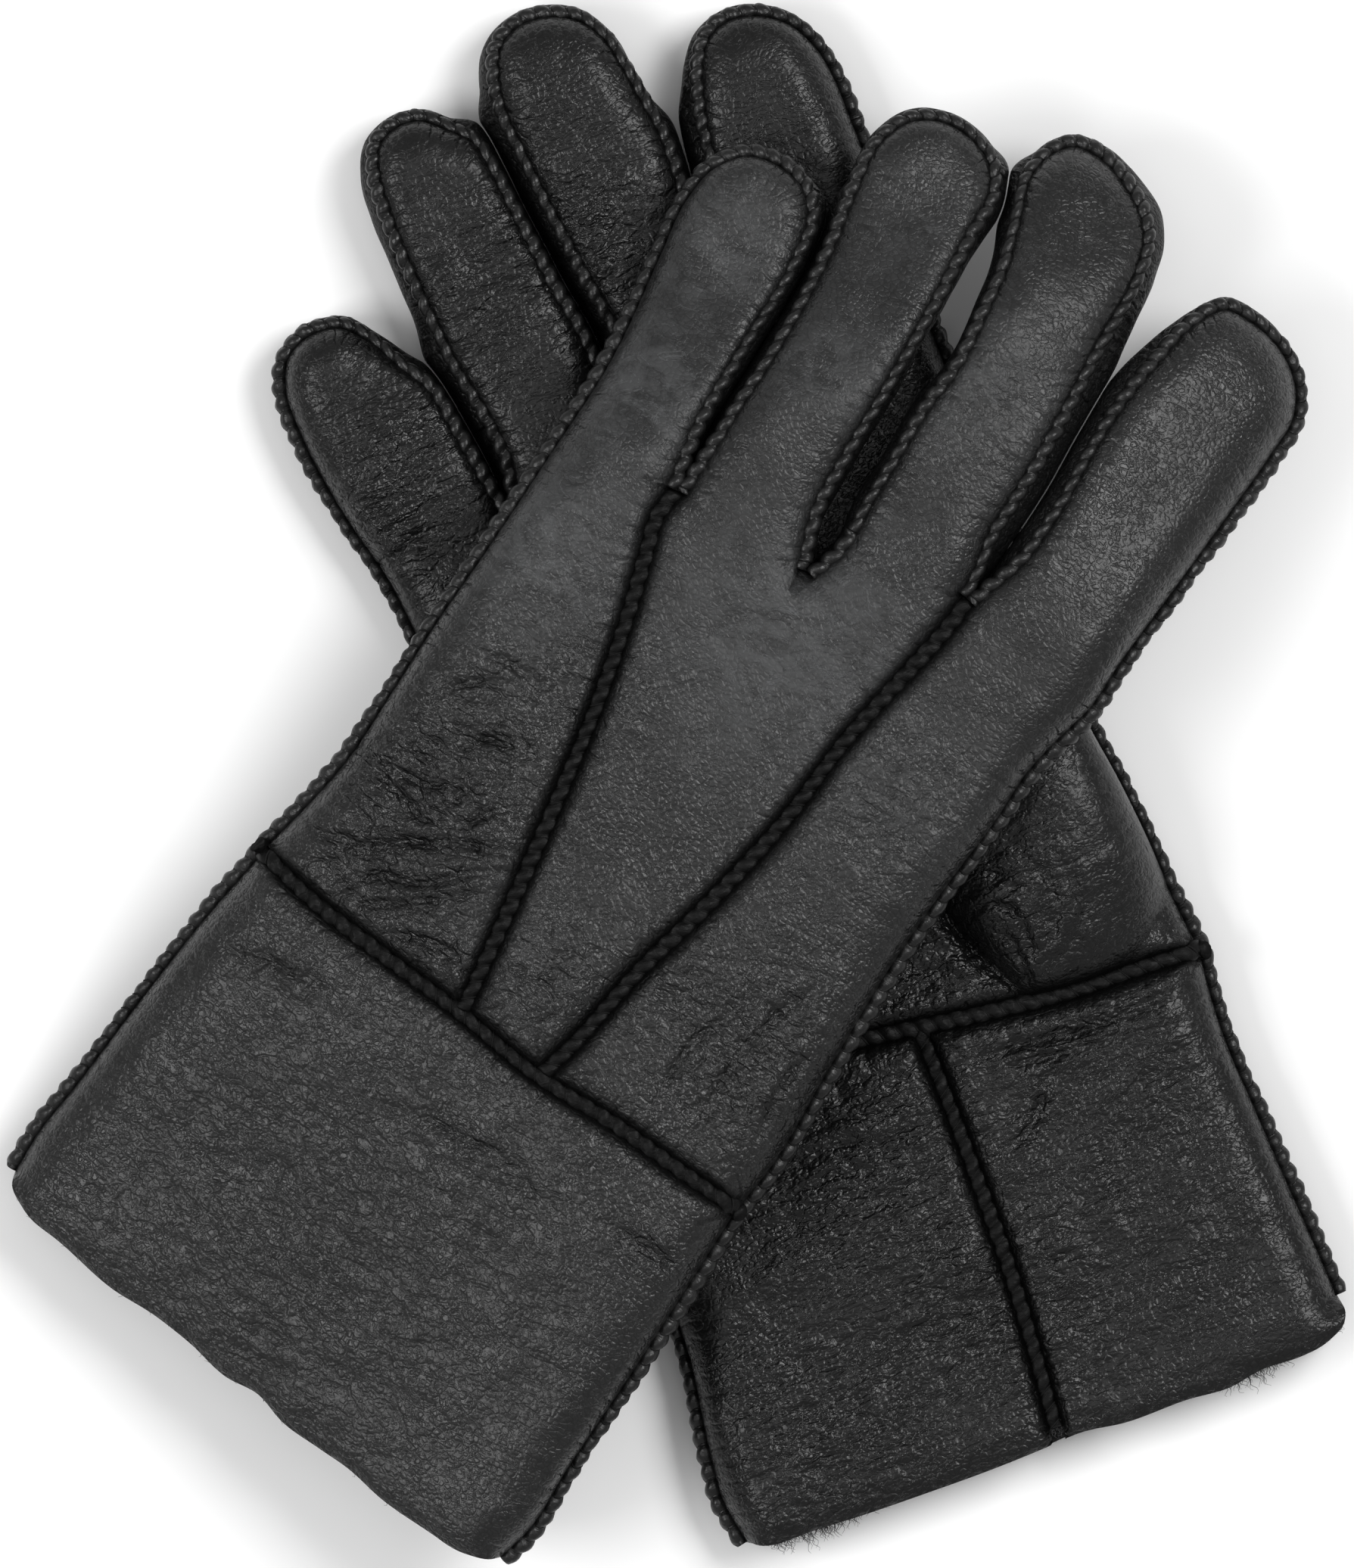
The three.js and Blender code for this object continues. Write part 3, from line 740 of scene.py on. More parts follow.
def skin_object(name, surface, chosen, leather, wool):
    """A closed piece of shearling: the chosen triangles of a surface, leather outside and wool inside."""
    triangles = surface.triangles[chosen]
    used, triangles = np.unique(triangles, return_inverse=True)
    triangles = triangles.reshape(-1, 3)
    outer, inner = surface.outer[used], surface.inner[used]
    middle = outer + (inner - outer) * LEATHER_SHARE
    normal = surface.normals()[used]
    if not surface.top:
        triangles = triangles[:, ::-1]
    n = len(used)
    sides = np.vstack((triangles[:, [0, 1]], triangles[:, [1, 2]], triangles[:, [2, 0]]))
    pairs = {(int(a), int(b)) for a, b in sides}
    rim = np.array([(a, b) for a, b in pairs if (b, a) not in pairs])
    around = np.unique(rim)
    position = {int(v): i for i, v in enumerate(around)}
    m = len(around)
    vertices = np.vstack((outer, inner, outer[around], middle[around], middle[around], inner[around]))
    rims = [2 * n + k * m for k in range(4)]  # where each copy of the rim starts
    faces = triangles.tolist() + (triangles[:, ::-1] + n).tolist()
    face_materials = [0] * len(triangles) + [1] * len(triangles)
    outward = np.zeros((m, 3))
    for a, b in rim:
        i, j = position[int(a)], position[int(b)]
        outward[[i, j]] += np.cross(outer[b] - outer[a], normal[a])
        faces += [[p + j, p + i, q + i, q + j] for p, q in (rims[:2], rims[2:])]
        face_materials += [0, 1]
    normals = np.vstack((normal, -normal, *[unit(outward)] * 4))
    index = np.concatenate([used, used] + [used[around]] * 4)
    floats = {key: getattr(surface, key)[index] for key in ("crease", "haze", "groove")}
    uv = np.column_stack((surface.seam_along[index], surface.seam_distance[index]))
    return new_object(name, vertices, faces, [leather, wool], face_materials, normals, floats, uv)


def grid_faces(rows, columns, ring=False):
    """The quads of a grid of vertices, each row closed; a ring also joins the last row to the first."""
    faces = []
    for i in range(rows if ring else rows - 1):
        a, b = i * columns, (i + 1) % rows * columns
        for j in range(columns):
            k = (j + 1) % columns
            faces.append([a + j, a + k, b + k, b + j])
    return faces


def tube_faces(rows, columns):
    """The faces of a closed tube."""
    last = (rows - 1) * columns
    ends = [list(range(columns))[::-1], [last + k for k in range(columns)]]
    return grid_faces(rows, columns) + ends


def joined(parts):
    """One list of vertices and one of faces, from many of each."""
    vertices, faces, start = [np.zeros((0, 3))], [], 0
    for v, f in parts:
        vertices.append(v)
        faces += [[start + i for i in face] for face in f]
        start += len(v)
    return np.vstack(vertices), faces


ROPE_SIDES = 12
ROPE_HEIGHT = 1.7  # half of it, the way the sewn edge stands out
ROPE_WIDTH = 1.6  # half of it
ROPE_STEPS = 8  # for each stitch
NOTCH = 0.52  # of a sewn edge's size, under the thread
LEAN = 0.85  # how far a stitch runs on while it crosses the edge
THREAD_RADIUS = 0.24
THREAD_STAND = 0.1  # of the thread's middle, off the notch
THREAD_STEPS, THREAD_SIDES = 14, 5


def seam_frame(centre, out):
    """The seam's direction, the way it stands out, and the way across it."""
    way = tangents(centre)
    out = unit(out - (out * way).sum(1)[:, None] * way)
    return way, out, np.cross(way, out)


def rope(centre, along, out, height=ROPE_HEIGHT, width=ROPE_WIDTH):
    """The whip-stitched edges of two skins: a row of small pillows with slanting notches."""
    _, out, across = seam_frame(centre, out)
    turn = np.arange(ROPE_SIDES) * 2 * math.pi / ROPE_SIDES
    phase = (along[:, None] - LEAN * np.sin(turn)) / PITCH
    swell = NOTCH + (1 - NOTCH) * np.abs(np.sin(math.pi * phase)) ** 0.6
    pillow = np.floor(phase)
    uneven = (1 + 0.13 * np.sin(pillow * 12.9 + centre[:1, :1])
              + 0.08 * noise(phase * 2.1, turn + 0 * phase, 31))
    size = (swell * uneven)[..., None]
    ring = size * (np.cos(turn)[None, :, None] * height * out[:, None, :]
                   + np.sin(turn)[None, :, None] * width * across[:, None, :])
    return (centre[:, None, :] + ring).reshape(-1, 3), tube_faces(len(centre), ROPE_SIDES)


def wraps(centre, along, out, height=ROPE_HEIGHT, width=ROPE_WIDTH):
    """The thread that goes round a sewn edge at each stitch, leaning as whip stitches do."""
    way, out, across = seam_frame(centre, out)
    parts = []
    turn = np.arange(THREAD_STEPS) * 2 * math.pi / THREAD_STEPS
    small = np.arange(THREAD_SIDES) * 2 * math.pi / THREAD_SIDES
    h, w = height * NOTCH + THREAD_STAND, width * NOTCH + THREAD_STAND
    for stitch in range(math.ceil(along[0] / PITCH + 0.2), int(along[-1] / PITCH - 0.2) + 1):
        i = int(np.argmin(np.abs(along - stitch * PITCH)))
        radial = np.cos(turn)[:, None] * out[i] + np.sin(turn)[:, None] * across[i]
        path = (centre[i] + np.cos(turn)[:, None] * h * out[i] + np.sin(turn)[:, None] * w * across[i]
                + np.sin(turn)[:, None] * LEAN * way[i])
        round_it = (np.cos(small)[None, :, None] * radial[:, None, :]
                    + np.sin(small)[None, :, None] * way[i])
        ring = path[:, None, :] + THREAD_RADIUS * round_it
        parts.append((ring.reshape(-1, 3), grid_faces(THREAD_STEPS, THREAD_SIDES, ring=True)))
    return joined(parts)


def finer(values):
    """Values at a seam's points, taken at more places along it."""
    values = np.asarray(values, float)
    where = np.linspace(0, len(values) - 1, (len(values) - 1) * ROPE_STEPS // SAMPLES + 1)
    return interpolate(where, np.arange(len(values)), values)


# Materials --------


class Shader:
    """A material's node tree, with short names for what it is built from."""

    def __init__(self, name):
        self.material = bpy.data.materials.new(name)
        self.material.use_nodes = True
        self.tree = self.material.node_tree
        self.surface = self.tree.nodes["Principled BSDF"]

    def node(self, kind, **settings):
        made = self.tree.nodes.new("ShaderNode" + kind)
        for key, value in settings.items():
            setattr(made, key, value)
        return made

    def put(self, value, socket):
        if isinstance(value, bpy.types.NodeSocket):
            self.tree.links.new(value, socket)
        else:
            socket.default_value = value

    def fill(self, node, **inputs):
        for name, value in inputs.items():
            self.put(value, node.inputs[name])

    def math(self, operation, a, b=0.5, clamp=False):
        made = self.node("Math", operation=operation, use_clamp=clamp)
        self.put(a, made.inputs[0])
        self.put(b, made.inputs[1])
        return made.outputs[0]

    def range(self, value, low, high, to_low=0.0, to_high=1.0):
        """A smooth step from to_low, where the value is low, to to_high, where it is high."""
        made = self.node("MapRange", interpolation_type="SMOOTHSTEP")
        self.fill(made, **{"Value": value, "From Min": low, "From Max": high, "To Min": to_low,
                           "To Max": to_high})
        return made.outputs["Result"]

    def times(self, a, b):
        return self.math("MULTIPLY", a, b)

    def plus(self, a, b):
        return self.math("ADD", a, b)

    def less(self, a, b):
        return self.math("SUBTRACT", a, b)

    def from_middle(self, value):
        """How far a value that runs from 0 to 1 is from a half."""
        return self.math("ABSOLUTE", self.less(value, 0.5))

    def set(self, name, value):
        self.put(value, self.surface.inputs[name])

    def place(self, scale, turn=0.0):
        """Object coordinates in millimetres over scale, which is the size of a feature along each axis."""
        rotated, scaled = self.node("Mapping"), self.node("Mapping")
        self.fill(rotated, Vector=self.node("TexCoord").outputs["Object"], Rotation=(0, 0, -turn))
        self.fill(scaled, Vector=rotated.outputs[0], Scale=[1 / (s * MM) for s in scale])
        return scaled.outputs[0]

    def noise(self, scale, turn=0.0, detail=2.0, distortion=0.0, roughness=0.5):
        made = self.node("TexNoise")
        self.fill(made, Vector=self.place(scale, turn), Scale=1.0, Detail=detail,
                  Distortion=distortion, Roughness=roughness)
        return made.outputs["Fac"]

    def cells(self, scale, turn=0.0, wobble=0.3, feature="DISTANCE_TO_EDGE"):
        """Voronoi cells with wandering edges."""
        where = self.place(scale, turn)
        shift = self.node("TexNoise")
        self.fill(shift, Vector=where, Scale=1.3)
        moved = self.node("VectorMath", operation="MULTIPLY_ADD")
        for socket, value in zip(moved.inputs, (shift.outputs["Color"], [wobble] * 3, where)):
            self.put(value, socket)
        made = self.node("TexVoronoi", feature=feature)
        self.fill(made, Vector=moved.outputs[0], Scale=1.0)
        return made.outputs["Distance"]

    def attribute(self, name):
        return self.node("Attribute", attribute_name=name).outputs["Fac"]

    def mix(self, factor, a, b):
        made = self.node("Mix", data_type="RGBA")
        self.put(factor, made.inputs[0])
        self.put(a, made.inputs[6])
        self.put(b, made.inputs[7])
        return made.outputs[2]

    def bump(self, height, depth):
        """Adds relief of that depth in millimetres to what is already there."""
        made = self.node("Bump")
        self.fill(made, Strength=1.0, Distance=depth * MM, Height=height)
        before = self.surface.inputs["Normal"]
        if before.is_linked:
            self.put(before.links[0].from_socket, made.inputs["Normal"])
        self.put(made.outputs["Normal"], before)


def grey(value, blue=0.0):
    return (value * (1 - blue), value, value * (1 + blue), 1)


STITCH_HOLE = (0.4, 0.8)  # half the length and half the width of the painted shade where a stitch presses in
HOLE_INSET = 1.0  # how far in from a seam it lies
GATHER_REACH = 6.5  # how far in from a seam the leather is gathered


def gathers(s, along, inward):
    """Small folds that run in from a seam, about one to a stitch."""
    wander = s.times(s.noise((5, 5, 5), 0.0, 2.0), 1.4)
    fold = s.from_middle(s.math("FRACT", s.plus(s.math("DIVIDE", along, PITCH), wander)))
    return s.times(s.range(fold, 0.0, 0.22), s.range(inward, 0.0, GATHER_REACH, 1.0, 0.0))


def painted_seam_shade(s, along, inward, groove):
    """Painted shade on the leather: at its stitch holes, in its fold at a seam, and in a groove."""
    phase = s.math("FRACT", s.math("DIVIDE", along, PITCH))
    off = s.times(s.less(0.5, s.from_middle(phase)), PITCH / STITCH_HOLE[0])
    depth = s.math("DIVIDE", s.less(inward, HOLE_INSET), STITCH_HOLE[1])
    away = s.math("SQRT", s.plus(s.times(off, off), s.times(depth, depth)))
    # The dark spot at each stitch hole is painted shade, as are the seam's fold and the groove below.
    hole_shade = s.times(s.range(away, 0.4, 1.1, 0.55, 0.0), s.less(1.0, groove))
    fold = s.range(inward, 0.4, 2.2, 0.6, 0.0)
    return s.math("MAXIMUM", s.math("MAXIMUM", hole_shade, fold), s.times(groove, 0.8))


def leather(name, base, haze, roughness, turn, shine, grain=1.0):
    """Grained sheepskin: pebbled, creased along its folds, hazy where it is worn, with painted shade in its
    seams, its creases and the cracks of its grain.
    """
    s = Shader(name)
    crease, groove = s.attribute("crease"), s.attribute("groove")
    split = s.node("SeparateXYZ")
    s.put(s.node("UVMap", uv_map="seam").outputs[0], split.inputs[0])
    along, inward = split.outputs[0], split.outputs[1]
    patches = s.noise((17, 13, 15), turn, 3.0, 0.6)
    cracks = s.cells((1.35, 1.1, 1.2), turn, 0.5)
    pebbles = s.range(cracks, 0.0, 0.3)
    facets = s.cells((3.0, 2.3, 2.6), turn, 1.1, "F1")
    wrinkles = s.range(s.cells((8, 4.6, 6), turn, 1.6), 0.0, 0.16)
    dents = s.noise((7, 5, 6), turn, 1.0, 0.6)
    veins = s.range(s.from_middle(s.noise((11, 7, 8), turn, 4.0, 1.6, 0.62)), 0.0, 0.02)
    graininess = s.plus(s.times(crease, 0.5), s.range(patches, 0.3, 0.7, 0.35, 0.75))
    s.bump(s.noise((0.36, 0.3, 0.33), turn, 2.0), 0.006)
    s.bump(s.times(pebbles, graininess), 0.12 * grain)
    s.bump(s.times(facets, s.plus(crease, 0.04)), 0.42 * grain)
    s.bump(s.times(dents, s.plus(crease, 0.3)), 0.6)
    s.bump(s.times(wrinkles, s.plus(crease, 0.08)), 0.32 * grain)
    s.bump(gathers(s, along, inward), 0.22)
    s.bump(veins, 0.05)
    worn = s.range(s.noise((8, 5, 6), turn, 7.0, 1.0, 0.66), 0.36, 0.62, 0.3, 1.0)
    worn = s.times(s.attribute("haze"), worn)
    rubbed = s.times(s.range(veins, 0.0, 1.0, 1.0, 0.0), s.times(worn, 0.75))
    # Painted shade: the grain's cracks and the creases' wrinkles are darkened where their bumps dip.
    crack_shade = s.times(s.range(cracks, 0.0, 0.12, 0.6, 0.0), s.math("SUBTRACT", 1.0, worn, True))
    wrinkle_shade = s.times(s.range(wrinkles, 0.0, 0.6, 0.7, 0.0), crease)
    colour = s.mix(s.range(patches, 0.25, 0.75), grey(base * 0.75), grey(base * 1.2, 0.01))
    # Tints over the leather's own tone: wear, rubbed wear, then painted shade in the cracks, in the creases
    # and at the seams.
    for share, tint in ((worn, grey(haze, 0.02)), (rubbed, grey(haze * 1.7, 0.03)), (crack_shade, grey(base * 0.3)),
                        (wrinkle_shade, grey(base * 0.3)),
                        (painted_seam_shade(s, along, inward, groove), grey(base * 0.15))):
        colour = s.mix(share, colour, tint)
    s.set("Base Color", colour)
    rough = s.range(patches, 0.25, 0.75, roughness + 0.05, roughness - 0.05)
    rough = s.plus(s.plus(rough, s.times(worn, 0.2)), s.times(groove, 0.2))
    s.set("Roughness", s.less(rough, s.times(crease, 0.05)))
    s.set("Specular IOR Level", s.less(shine, s.times(groove, 0.8 * shine)))
    s.set("IOR", 1.43)
    return s.material


def edge_leather(name, base, roughness, turn, shine=0.36):
    """The sewn edges: the same leather, darker in the hollows of its lumps and lighter on their tops."""
    s = Shader(name)
    lumps = s.noise((1.8, 1.4, 1.6), turn, 2.0, 0.4)
    s.bump(lumps, 0.24)
    s.bump(s.noise((0.9, 0.5, 0.7), turn, 2.0, 0.4), 0.05)
    s.set("Specular IOR Level", shine)
    s.set("Base Color", s.mix(s.range(lumps, 0.3, 0.7), grey(base * 0.45), grey(base * 1.2)))
    s.set("Roughness", s.range(lumps, 0.3, 0.7, roughness + 0.08, roughness - 0.05))
    s.set("IOR", 1.47)
    return s.material


def thread_material():
    s = Shader("thread")
    strands = s.noise((0.25, 0.25, 0.25), 0.0, 2.0)
    s.bump(strands, 0.08)
    s.set("Base Color", s.mix(strands, grey(0.0012), grey(0.004)))
    s.set("Roughness", s.range(strands, 0.3, 0.7, 0.7, 0.85))
    s.set("Specular IOR Level", 0.2)
    return s.material


def wool_material():
    s = Shader("wool")
    curls = s.noise((1.3, 1.3, 1.3), 0.0, 4.0, 2.2, 0.6)
    s.bump(curls, 0.7)
    s.bump(s.noise((5, 5, 5), 0.0, 2.0, 0.5), 1.2)
    s.set("Base Color", s.mix(curls, grey(0.002), grey(0.018)))
    s.set("Roughness", s.range(curls, 0.3, 0.7, 0.95, 0.75))
    s.set("Sheen Weight", 0.35)
    s.set("Sheen Roughness", 0.6)
    s.set("Sheen Tint", (0.6, 0.6, 0.62, 1))
    return s.material


LEATHER = {
    "left": leather("left_leather", 0.0100, 0.044, 0.32, left["turn"], 0.41),
    "right": leather("right_leather", 0.0052, 0.013, 0.30, right["turn"], 0.35, 0.75),
}
EDGE_LEATHER = {
    "left": edge_leather("left_edge_leather", 0.0070, 0.37, left["turn"]),
    "right": edge_leather("right_edge_leather", 0.0055, 0.34, right["turn"]),
}
# A darker, duller copy of the sewn edges for the ropes down in the grooves: painted shade.
SHADED_EDGE_LEATHER = edge_leather("painted_shade_seam_leather", 0.0020, 0.50, 0.0, 0.14)
THREAD = thread_material()
WOOL = wool_material()


# Assembly --------

BEND_START = {  # where each finger's pieces start, ahead of the bending line
    "left": {"little": -0.2, "ring": -0.8, "middle": -4.5, "index": -5.0},
    "right": {"little": -7.0, "ring": -7.0, "middle": -7.0, "index": -4.0},
}
BEND_LENGTH = {"left": 10.0, "right": 12.0}


class Bend:
    """A finger's joint: its bending line and the way the finger points."""

    def __init__(self, side, finger):
        joint = next(j for j in frame["joints"] if j["name"] == f"{side}_{finger}_finger_bend")
        self.hand, self.body = joint["parent"], joint["child"]
        self.pivot = np.array(joint["pos_m"]) / MM
        axis = np.array(joint["axis"][:2])
        self.right = axis / np.linalg.norm(axis)
        self.ahead = np.array((-self.right[1], self.right[0]))
        self.start = BEND_START[side][finger]
        self.end = self.start + BEND_LENGTH[side]

    def past(self, p):
        """How far points are past the line where the finger piece starts."""
        return (p[:, :2] - self.pivot[:2]) @ self.ahead - self.start

    def aside(self, p):
        return (p[:, :2] - self.pivot[:2]) @ self.right

    def join(self, piece):
        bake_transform(piece)


BENDS = {side: {f: Bend(side, f) for f in FINGERS} for side in ("left", "right")}


def finger_of(side, p):
    """For each point, the index of the finger that it belongs to, or -1 on the hand."""
    owner = np.full(len(p), -1)
    nearest_aside = np.full(len(p), 22.0)
    for i, finger in enumerate(FINGERS):
        bend = BENDS[side][finger]
        aside = np.abs(bend.aside(p))
        own = (bend.past(p) > 0) & (aside < nearest_aside)
        owner[own] = i
        nearest_aside = np.where(own, aside, nearest_aside)
    return owner


def settle(piece, side, finger, replaced=()):
    """Puts a piece on the hand, or bakes it where it lies for a finger, and hides the parts that it replaces.
    """
    if finger is None:
        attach(piece, f"{side}_hand")
    else:
        BENDS[side][finger].join(piece)
    if replaced:
        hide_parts(*replaced)
    return piece


def add_panel(plan, surface, name, face):
    """Splits a surface into its hand piece and its fingers' pieces."""
    side = plan["name"]
    centre = surface.p[surface.triangles].mean(1)
    owner = finger_of(side, centre)
    materials = (LEATHER[side], WOOL)
    if (owner < 0).any():
        piece = skin_object(f"{side}_{name}_skin", surface, owner < 0, *materials)
        settle(piece, side, None, [f"{side}_{name}" + ("" if "cuff" in name else "_panel")])
    for i, finger in enumerate(FINGERS):
        if not (owner == i).any():
            continue
        piece = skin_object(f"{side}_{finger}_finger_{face}_skin", surface, owner == i, *materials)
        settle(piece, side, finger, [f"{side}_{finger}_finger_{face}"])


HEM_INSET = 1.7  # of the hem's corners
HEM_CORNER = 14
HEM_END = 2  # how far a hem's panels stop from its ends
CUFF_SLOPE = 10.0


def build_hand(plan):
    side = plan["name"]
    shapes = {f: contour(plan, f) for f in FINGERS}
    cuff_sides = straight_sides(plan)
    wrist, wrist_along = spline(plan["wrist"])
    hem, hem_along = spline(plan["hem"])
    seam_a, seam_b, split = (spline(s) for s in (*plan["seams"], plan["cuff_seam"]))
    outer_shapes = (shapes["little"], shapes["index"], *cuff_sides.values())
    outline = [(shape["curve"], EDGE_INSET) for shape in outer_shapes]
    across = (wrist, SEAM_GAP)
    edges = {f: side_edge(shapes[f]) for f in FINGERS}
    for f in ("little", "index"):
        edges[f] = edges[f].clear_of(across)
    outer, inner = (Edge(c["panel"], c["along"], HALF, CUFF_SLOPE).clear_of(across)
                    for c in cuff_sides.values())
    from_side = np.min([nearest(hem, c["curve"])[0] for c in cuff_sides.values()], axis=0)
    hem = hem + right_of(hem) * HEM_INSET * (1 - smoothstep(from_side, 0, HEM_CORNER))[:, None]

    def clear(edge, seams):
        return edge.clear_of(*outline, *((curve, SEAM_GAP) for curve, _ in seams))

    def wrist_part(low, high, face, *seams):
        """One side of the wrist seam between two places on it, clear of the seams that meet it."""
        part = (wrist_along >= low) & (wrist_along <= high)
        points = (wrist + right_of(wrist) * face * SEAM_GAP)[part]
        return clear(Edge(points, wrist_along[part], GROOVE, GROOVE_WIDTH), seams)

    def hem_part(low, high, *seams):
        part = hem[(hem_along >= low) & (hem_along <= high)]
        return clear(Edge(part, np.zeros(len(part)), 1.6, 9.0, stitched=False), seams)

    def beside(seam, face):
        return groove_edge(*seam, face).clear_of(across)

    first, second, middle = (place_on(p, wrist, wrist_along)
                             for p in (seam_a[0][-1], seam_b[0][-1], split[0][0]))
    cut = place_on(split[0][-1], hem, hem_along)
    end, hem_end = wrist_along[-1], hem_along[-1] - HEM_END
    panels = {
        "back_little": [edges["little"], beside(seam_a, 1),
                        wrist_part(0, first, -1, seam_a).reversed()],
        "back_centre": [beside(seam_a, -1).reversed(), edges["ring"], edges["middle"],
                        beside(seam_b, 1), wrist_part(first, second, -1, seam_a, seam_b).reversed()],
        "back_index": [beside(seam_b, -1).reversed(), edges["index"],
                       wrist_part(second, end, -1, seam_b).reversed()],
        "palm": [*edges.values(), wrist_part(0, end, -1).reversed()],
        "cuff_back": [outer, wrist_part(0, end, 1), inner, hem_part(HEM_END, hem_end)],
        "cuff_palm_outer": [outer, wrist_part(0, middle, 1, split), beside(split, 1),
                            hem_part(cut, hem_end, split)],
        "cuff_palm_inner": [wrist_part(middle, end, 1, split), inner, hem_part(HEM_END, cut, split),
                            beside(split, -1).reversed()],
    }
    for (name, sides), seed in zip(panels.items(), plan["seeds"]):
        face = "back" if "back" in name else "palm"
        mound = THUMB_ROOTS[side] if name == "palm" else None
        surface = Surface(plan, sides, face == plan["face"], mound=mound, seed=seed)
        add_panel(plan, surface, name, face)
    add_fourchettes(plan, shapes)
    add_seams(plan, shapes, cuff_sides, (wrist, wrist_along), [seam_a, seam_b], split)


THUMB_SEAM = np.array([(44, -4), (46, -13), (51, -22), (55, -28.5), (60.3, -34.2), (66, -39.6),
                       (69.8, -43.5)], float)


def right_thumb_root(p):
    """The root of the right thumb, folded over the palm: steep at its seam, level towards the side."""
    distance, place = nearest(p, THUMB_SEAM)
    i = np.clip(place.astype(int), 0, len(THUMB_SEAM) - 2)
    way = THUMB_SEAM[i + 1] - THUMB_SEAM[i]
    to = p - THUMB_SEAM[i]
    signed = np.sign(way[:, 0] * to[:, 1] - way[:, 1] * to[:, 0]) * distance
    swell = np.clip(1 - ((p[:, 0] - 72) / 28) ** 2 - ((p[:, 1] - 2) / 46) ** 2, 0, 1) ** 0.7
    radius = np.hypot(p[:, 0] - 67, p[:, 1] + 23)
    arcs = ridges(radius / 3.6, np.arctan2(p[:, 1] + 23, p[:, 0] - 67) * 1.6, 12) ** 2
    arcs = 0.6 * arcs * np.exp(-((radius - 11) / 8) ** 2)
    return 11.5 * swell * smoothstep(signed, -1.0, 6.0) ** 0.8 - arcs * smoothstep(signed, 0, 4)


def left_thumb_root(p):
    """The root of the left thumb, on the underside of its palm."""
    return 9.5 * np.clip(1 - ((p[:, 0] - 29) / 19) ** 2 - ((p[:, 1] + 20) / 27) ** 2, 0, 1) ** 0.7


THUMB_ROOTS = {"left": left_thumb_root, "right": right_thumb_root}


def add_fourchettes(plan, shapes):
    """The strips between a finger's back and its palm side, bulging to the outline."""
    side = plan["name"]
    for finger in FINGERS:
        shape = shapes[finger]
        count = len(shape["rise"])
        from_half = np.abs(np.arange(count) - count / 2)
        tip = int(np.argmin(np.abs(shape["rise"] - TIP_RISE) + 1e-3 * from_half))
        others = [shapes[f]["curve"] for f in FINGERS if f != finger]
        gap = np.min([nearest(shape["curve"], other)[0] for other in others], axis=0)
        for place, part in (("outer", slice(0, tip + 1)), ("inner", slice(tip, None))):
            kind = f"{place}_fourchette"
            if shape["outer"][part].mean() > 0.5:
                kind = "side_edge"
                keep = np.flatnonzero(shape["rise"][part] > 0.02)
                part = slice(part.start + keep[0], part.start + keep[-1] + 1)
            past = BENDS[side][finger].past(shape["curve"][part])
            on_finger = np.flatnonzero(past > 0)
            spans = {finger: (on_finger[0], on_finger[-1] + 1)}
            if on_finger[0] > 0:
                spans[None] = (0, on_finger[0] + 1)
            elif on_finger[-1] < len(past) - 1:
                spans[None] = (on_finger[-1], len(past))
            cad = f"{side}_{finger}_finger_{kind}"
            for owner, (a, b) in spans.items():
                if b - a < 2:
                    continue
                sub = slice(part.start + a, part.start + b)
                name = cad if owner else f"{side}_hand_{finger}_{place}_fourchette"
                piece = fourchette(plan, shape, sub, name + "_strip", gap)
                settle(piece, side, owner, [cad] if owner else [])


STRIP_COLUMNS = 11
# A fourchette's groove value gives the whole strip painted shade and less shine, as it lies between the
# fingers.
STRIP_LOOK = {"crease": 0.35, "groove": 0.6}
TOUCHING = 2.4  # how near two fingers' outlines are where the fingers lie together


def fourchette(plan, shape, part, name, gap):
    """A strip between two seams. It bulges to the neighbouring finger where they lie together."""
    side = plan["name"]
    apart = 1.1 - 1.5 * smoothstep(gap, TOUCHING, 7)
    proud = np.where(gap < TOUCHING, gap / 2 - 0.1, apart)
    base, inset, rise = shape["panel"][part], shape["inset"][part], shape["rise"][part]
    out = -right_of(shape["curve"])[part]
    along = shape["along"][part]
    v = np.linspace(-1, 1, STRIP_COLUMNS)
    bulge = np.cos(v * math.pi / 2) ** 0.7
    outer, inner = [], []
    for j in range(STRIP_COLUMNS):
        wave = (0.2 * noise(along / 7, np.full(len(along), j / 3.0), 61)
                + 0.12 * np.cos(2 * math.pi * along / PITCH) * abs(v[j]))
        reach = (inset + proud[part] + wave * smoothstep(gap[part], 1, 3)) * bulge[j]
        xy = base + out * reach[:, None]
        z = HALF + v[j] * HALF * rise
        deep = base - out * (1.2 + 1.2 * bulge[j])
        outer.append(resting(plan, xy, z))
        inner.append(np.column_stack((deep, outer[-1][:, 2])))
    outer, inner = np.stack(outer, 1), np.stack(inner, 1)
    ring = np.concatenate((outer, inner[:, ::-1]), axis=1)
    vertices = ring.reshape(-1, 3)
    faces = [f[::-1] for f in tube_faces(len(along), 2 * STRIP_COLUMNS)]
    from_seam = np.concatenate((1 - np.abs(v), 1 - np.abs(v[::-1])))
    from_seam = (from_seam[None, :] * (HALF * rise)[:, None]).ravel()
    uv = np.column_stack((np.repeat(along, 2 * STRIP_COLUMNS), from_seam))
    floats = {key: np.full(len(vertices), value) for key, value in STRIP_LOOK.items()}
    return new_object(name, vertices, faces, [LEATHER[side]], floats=floats, uv=uv)


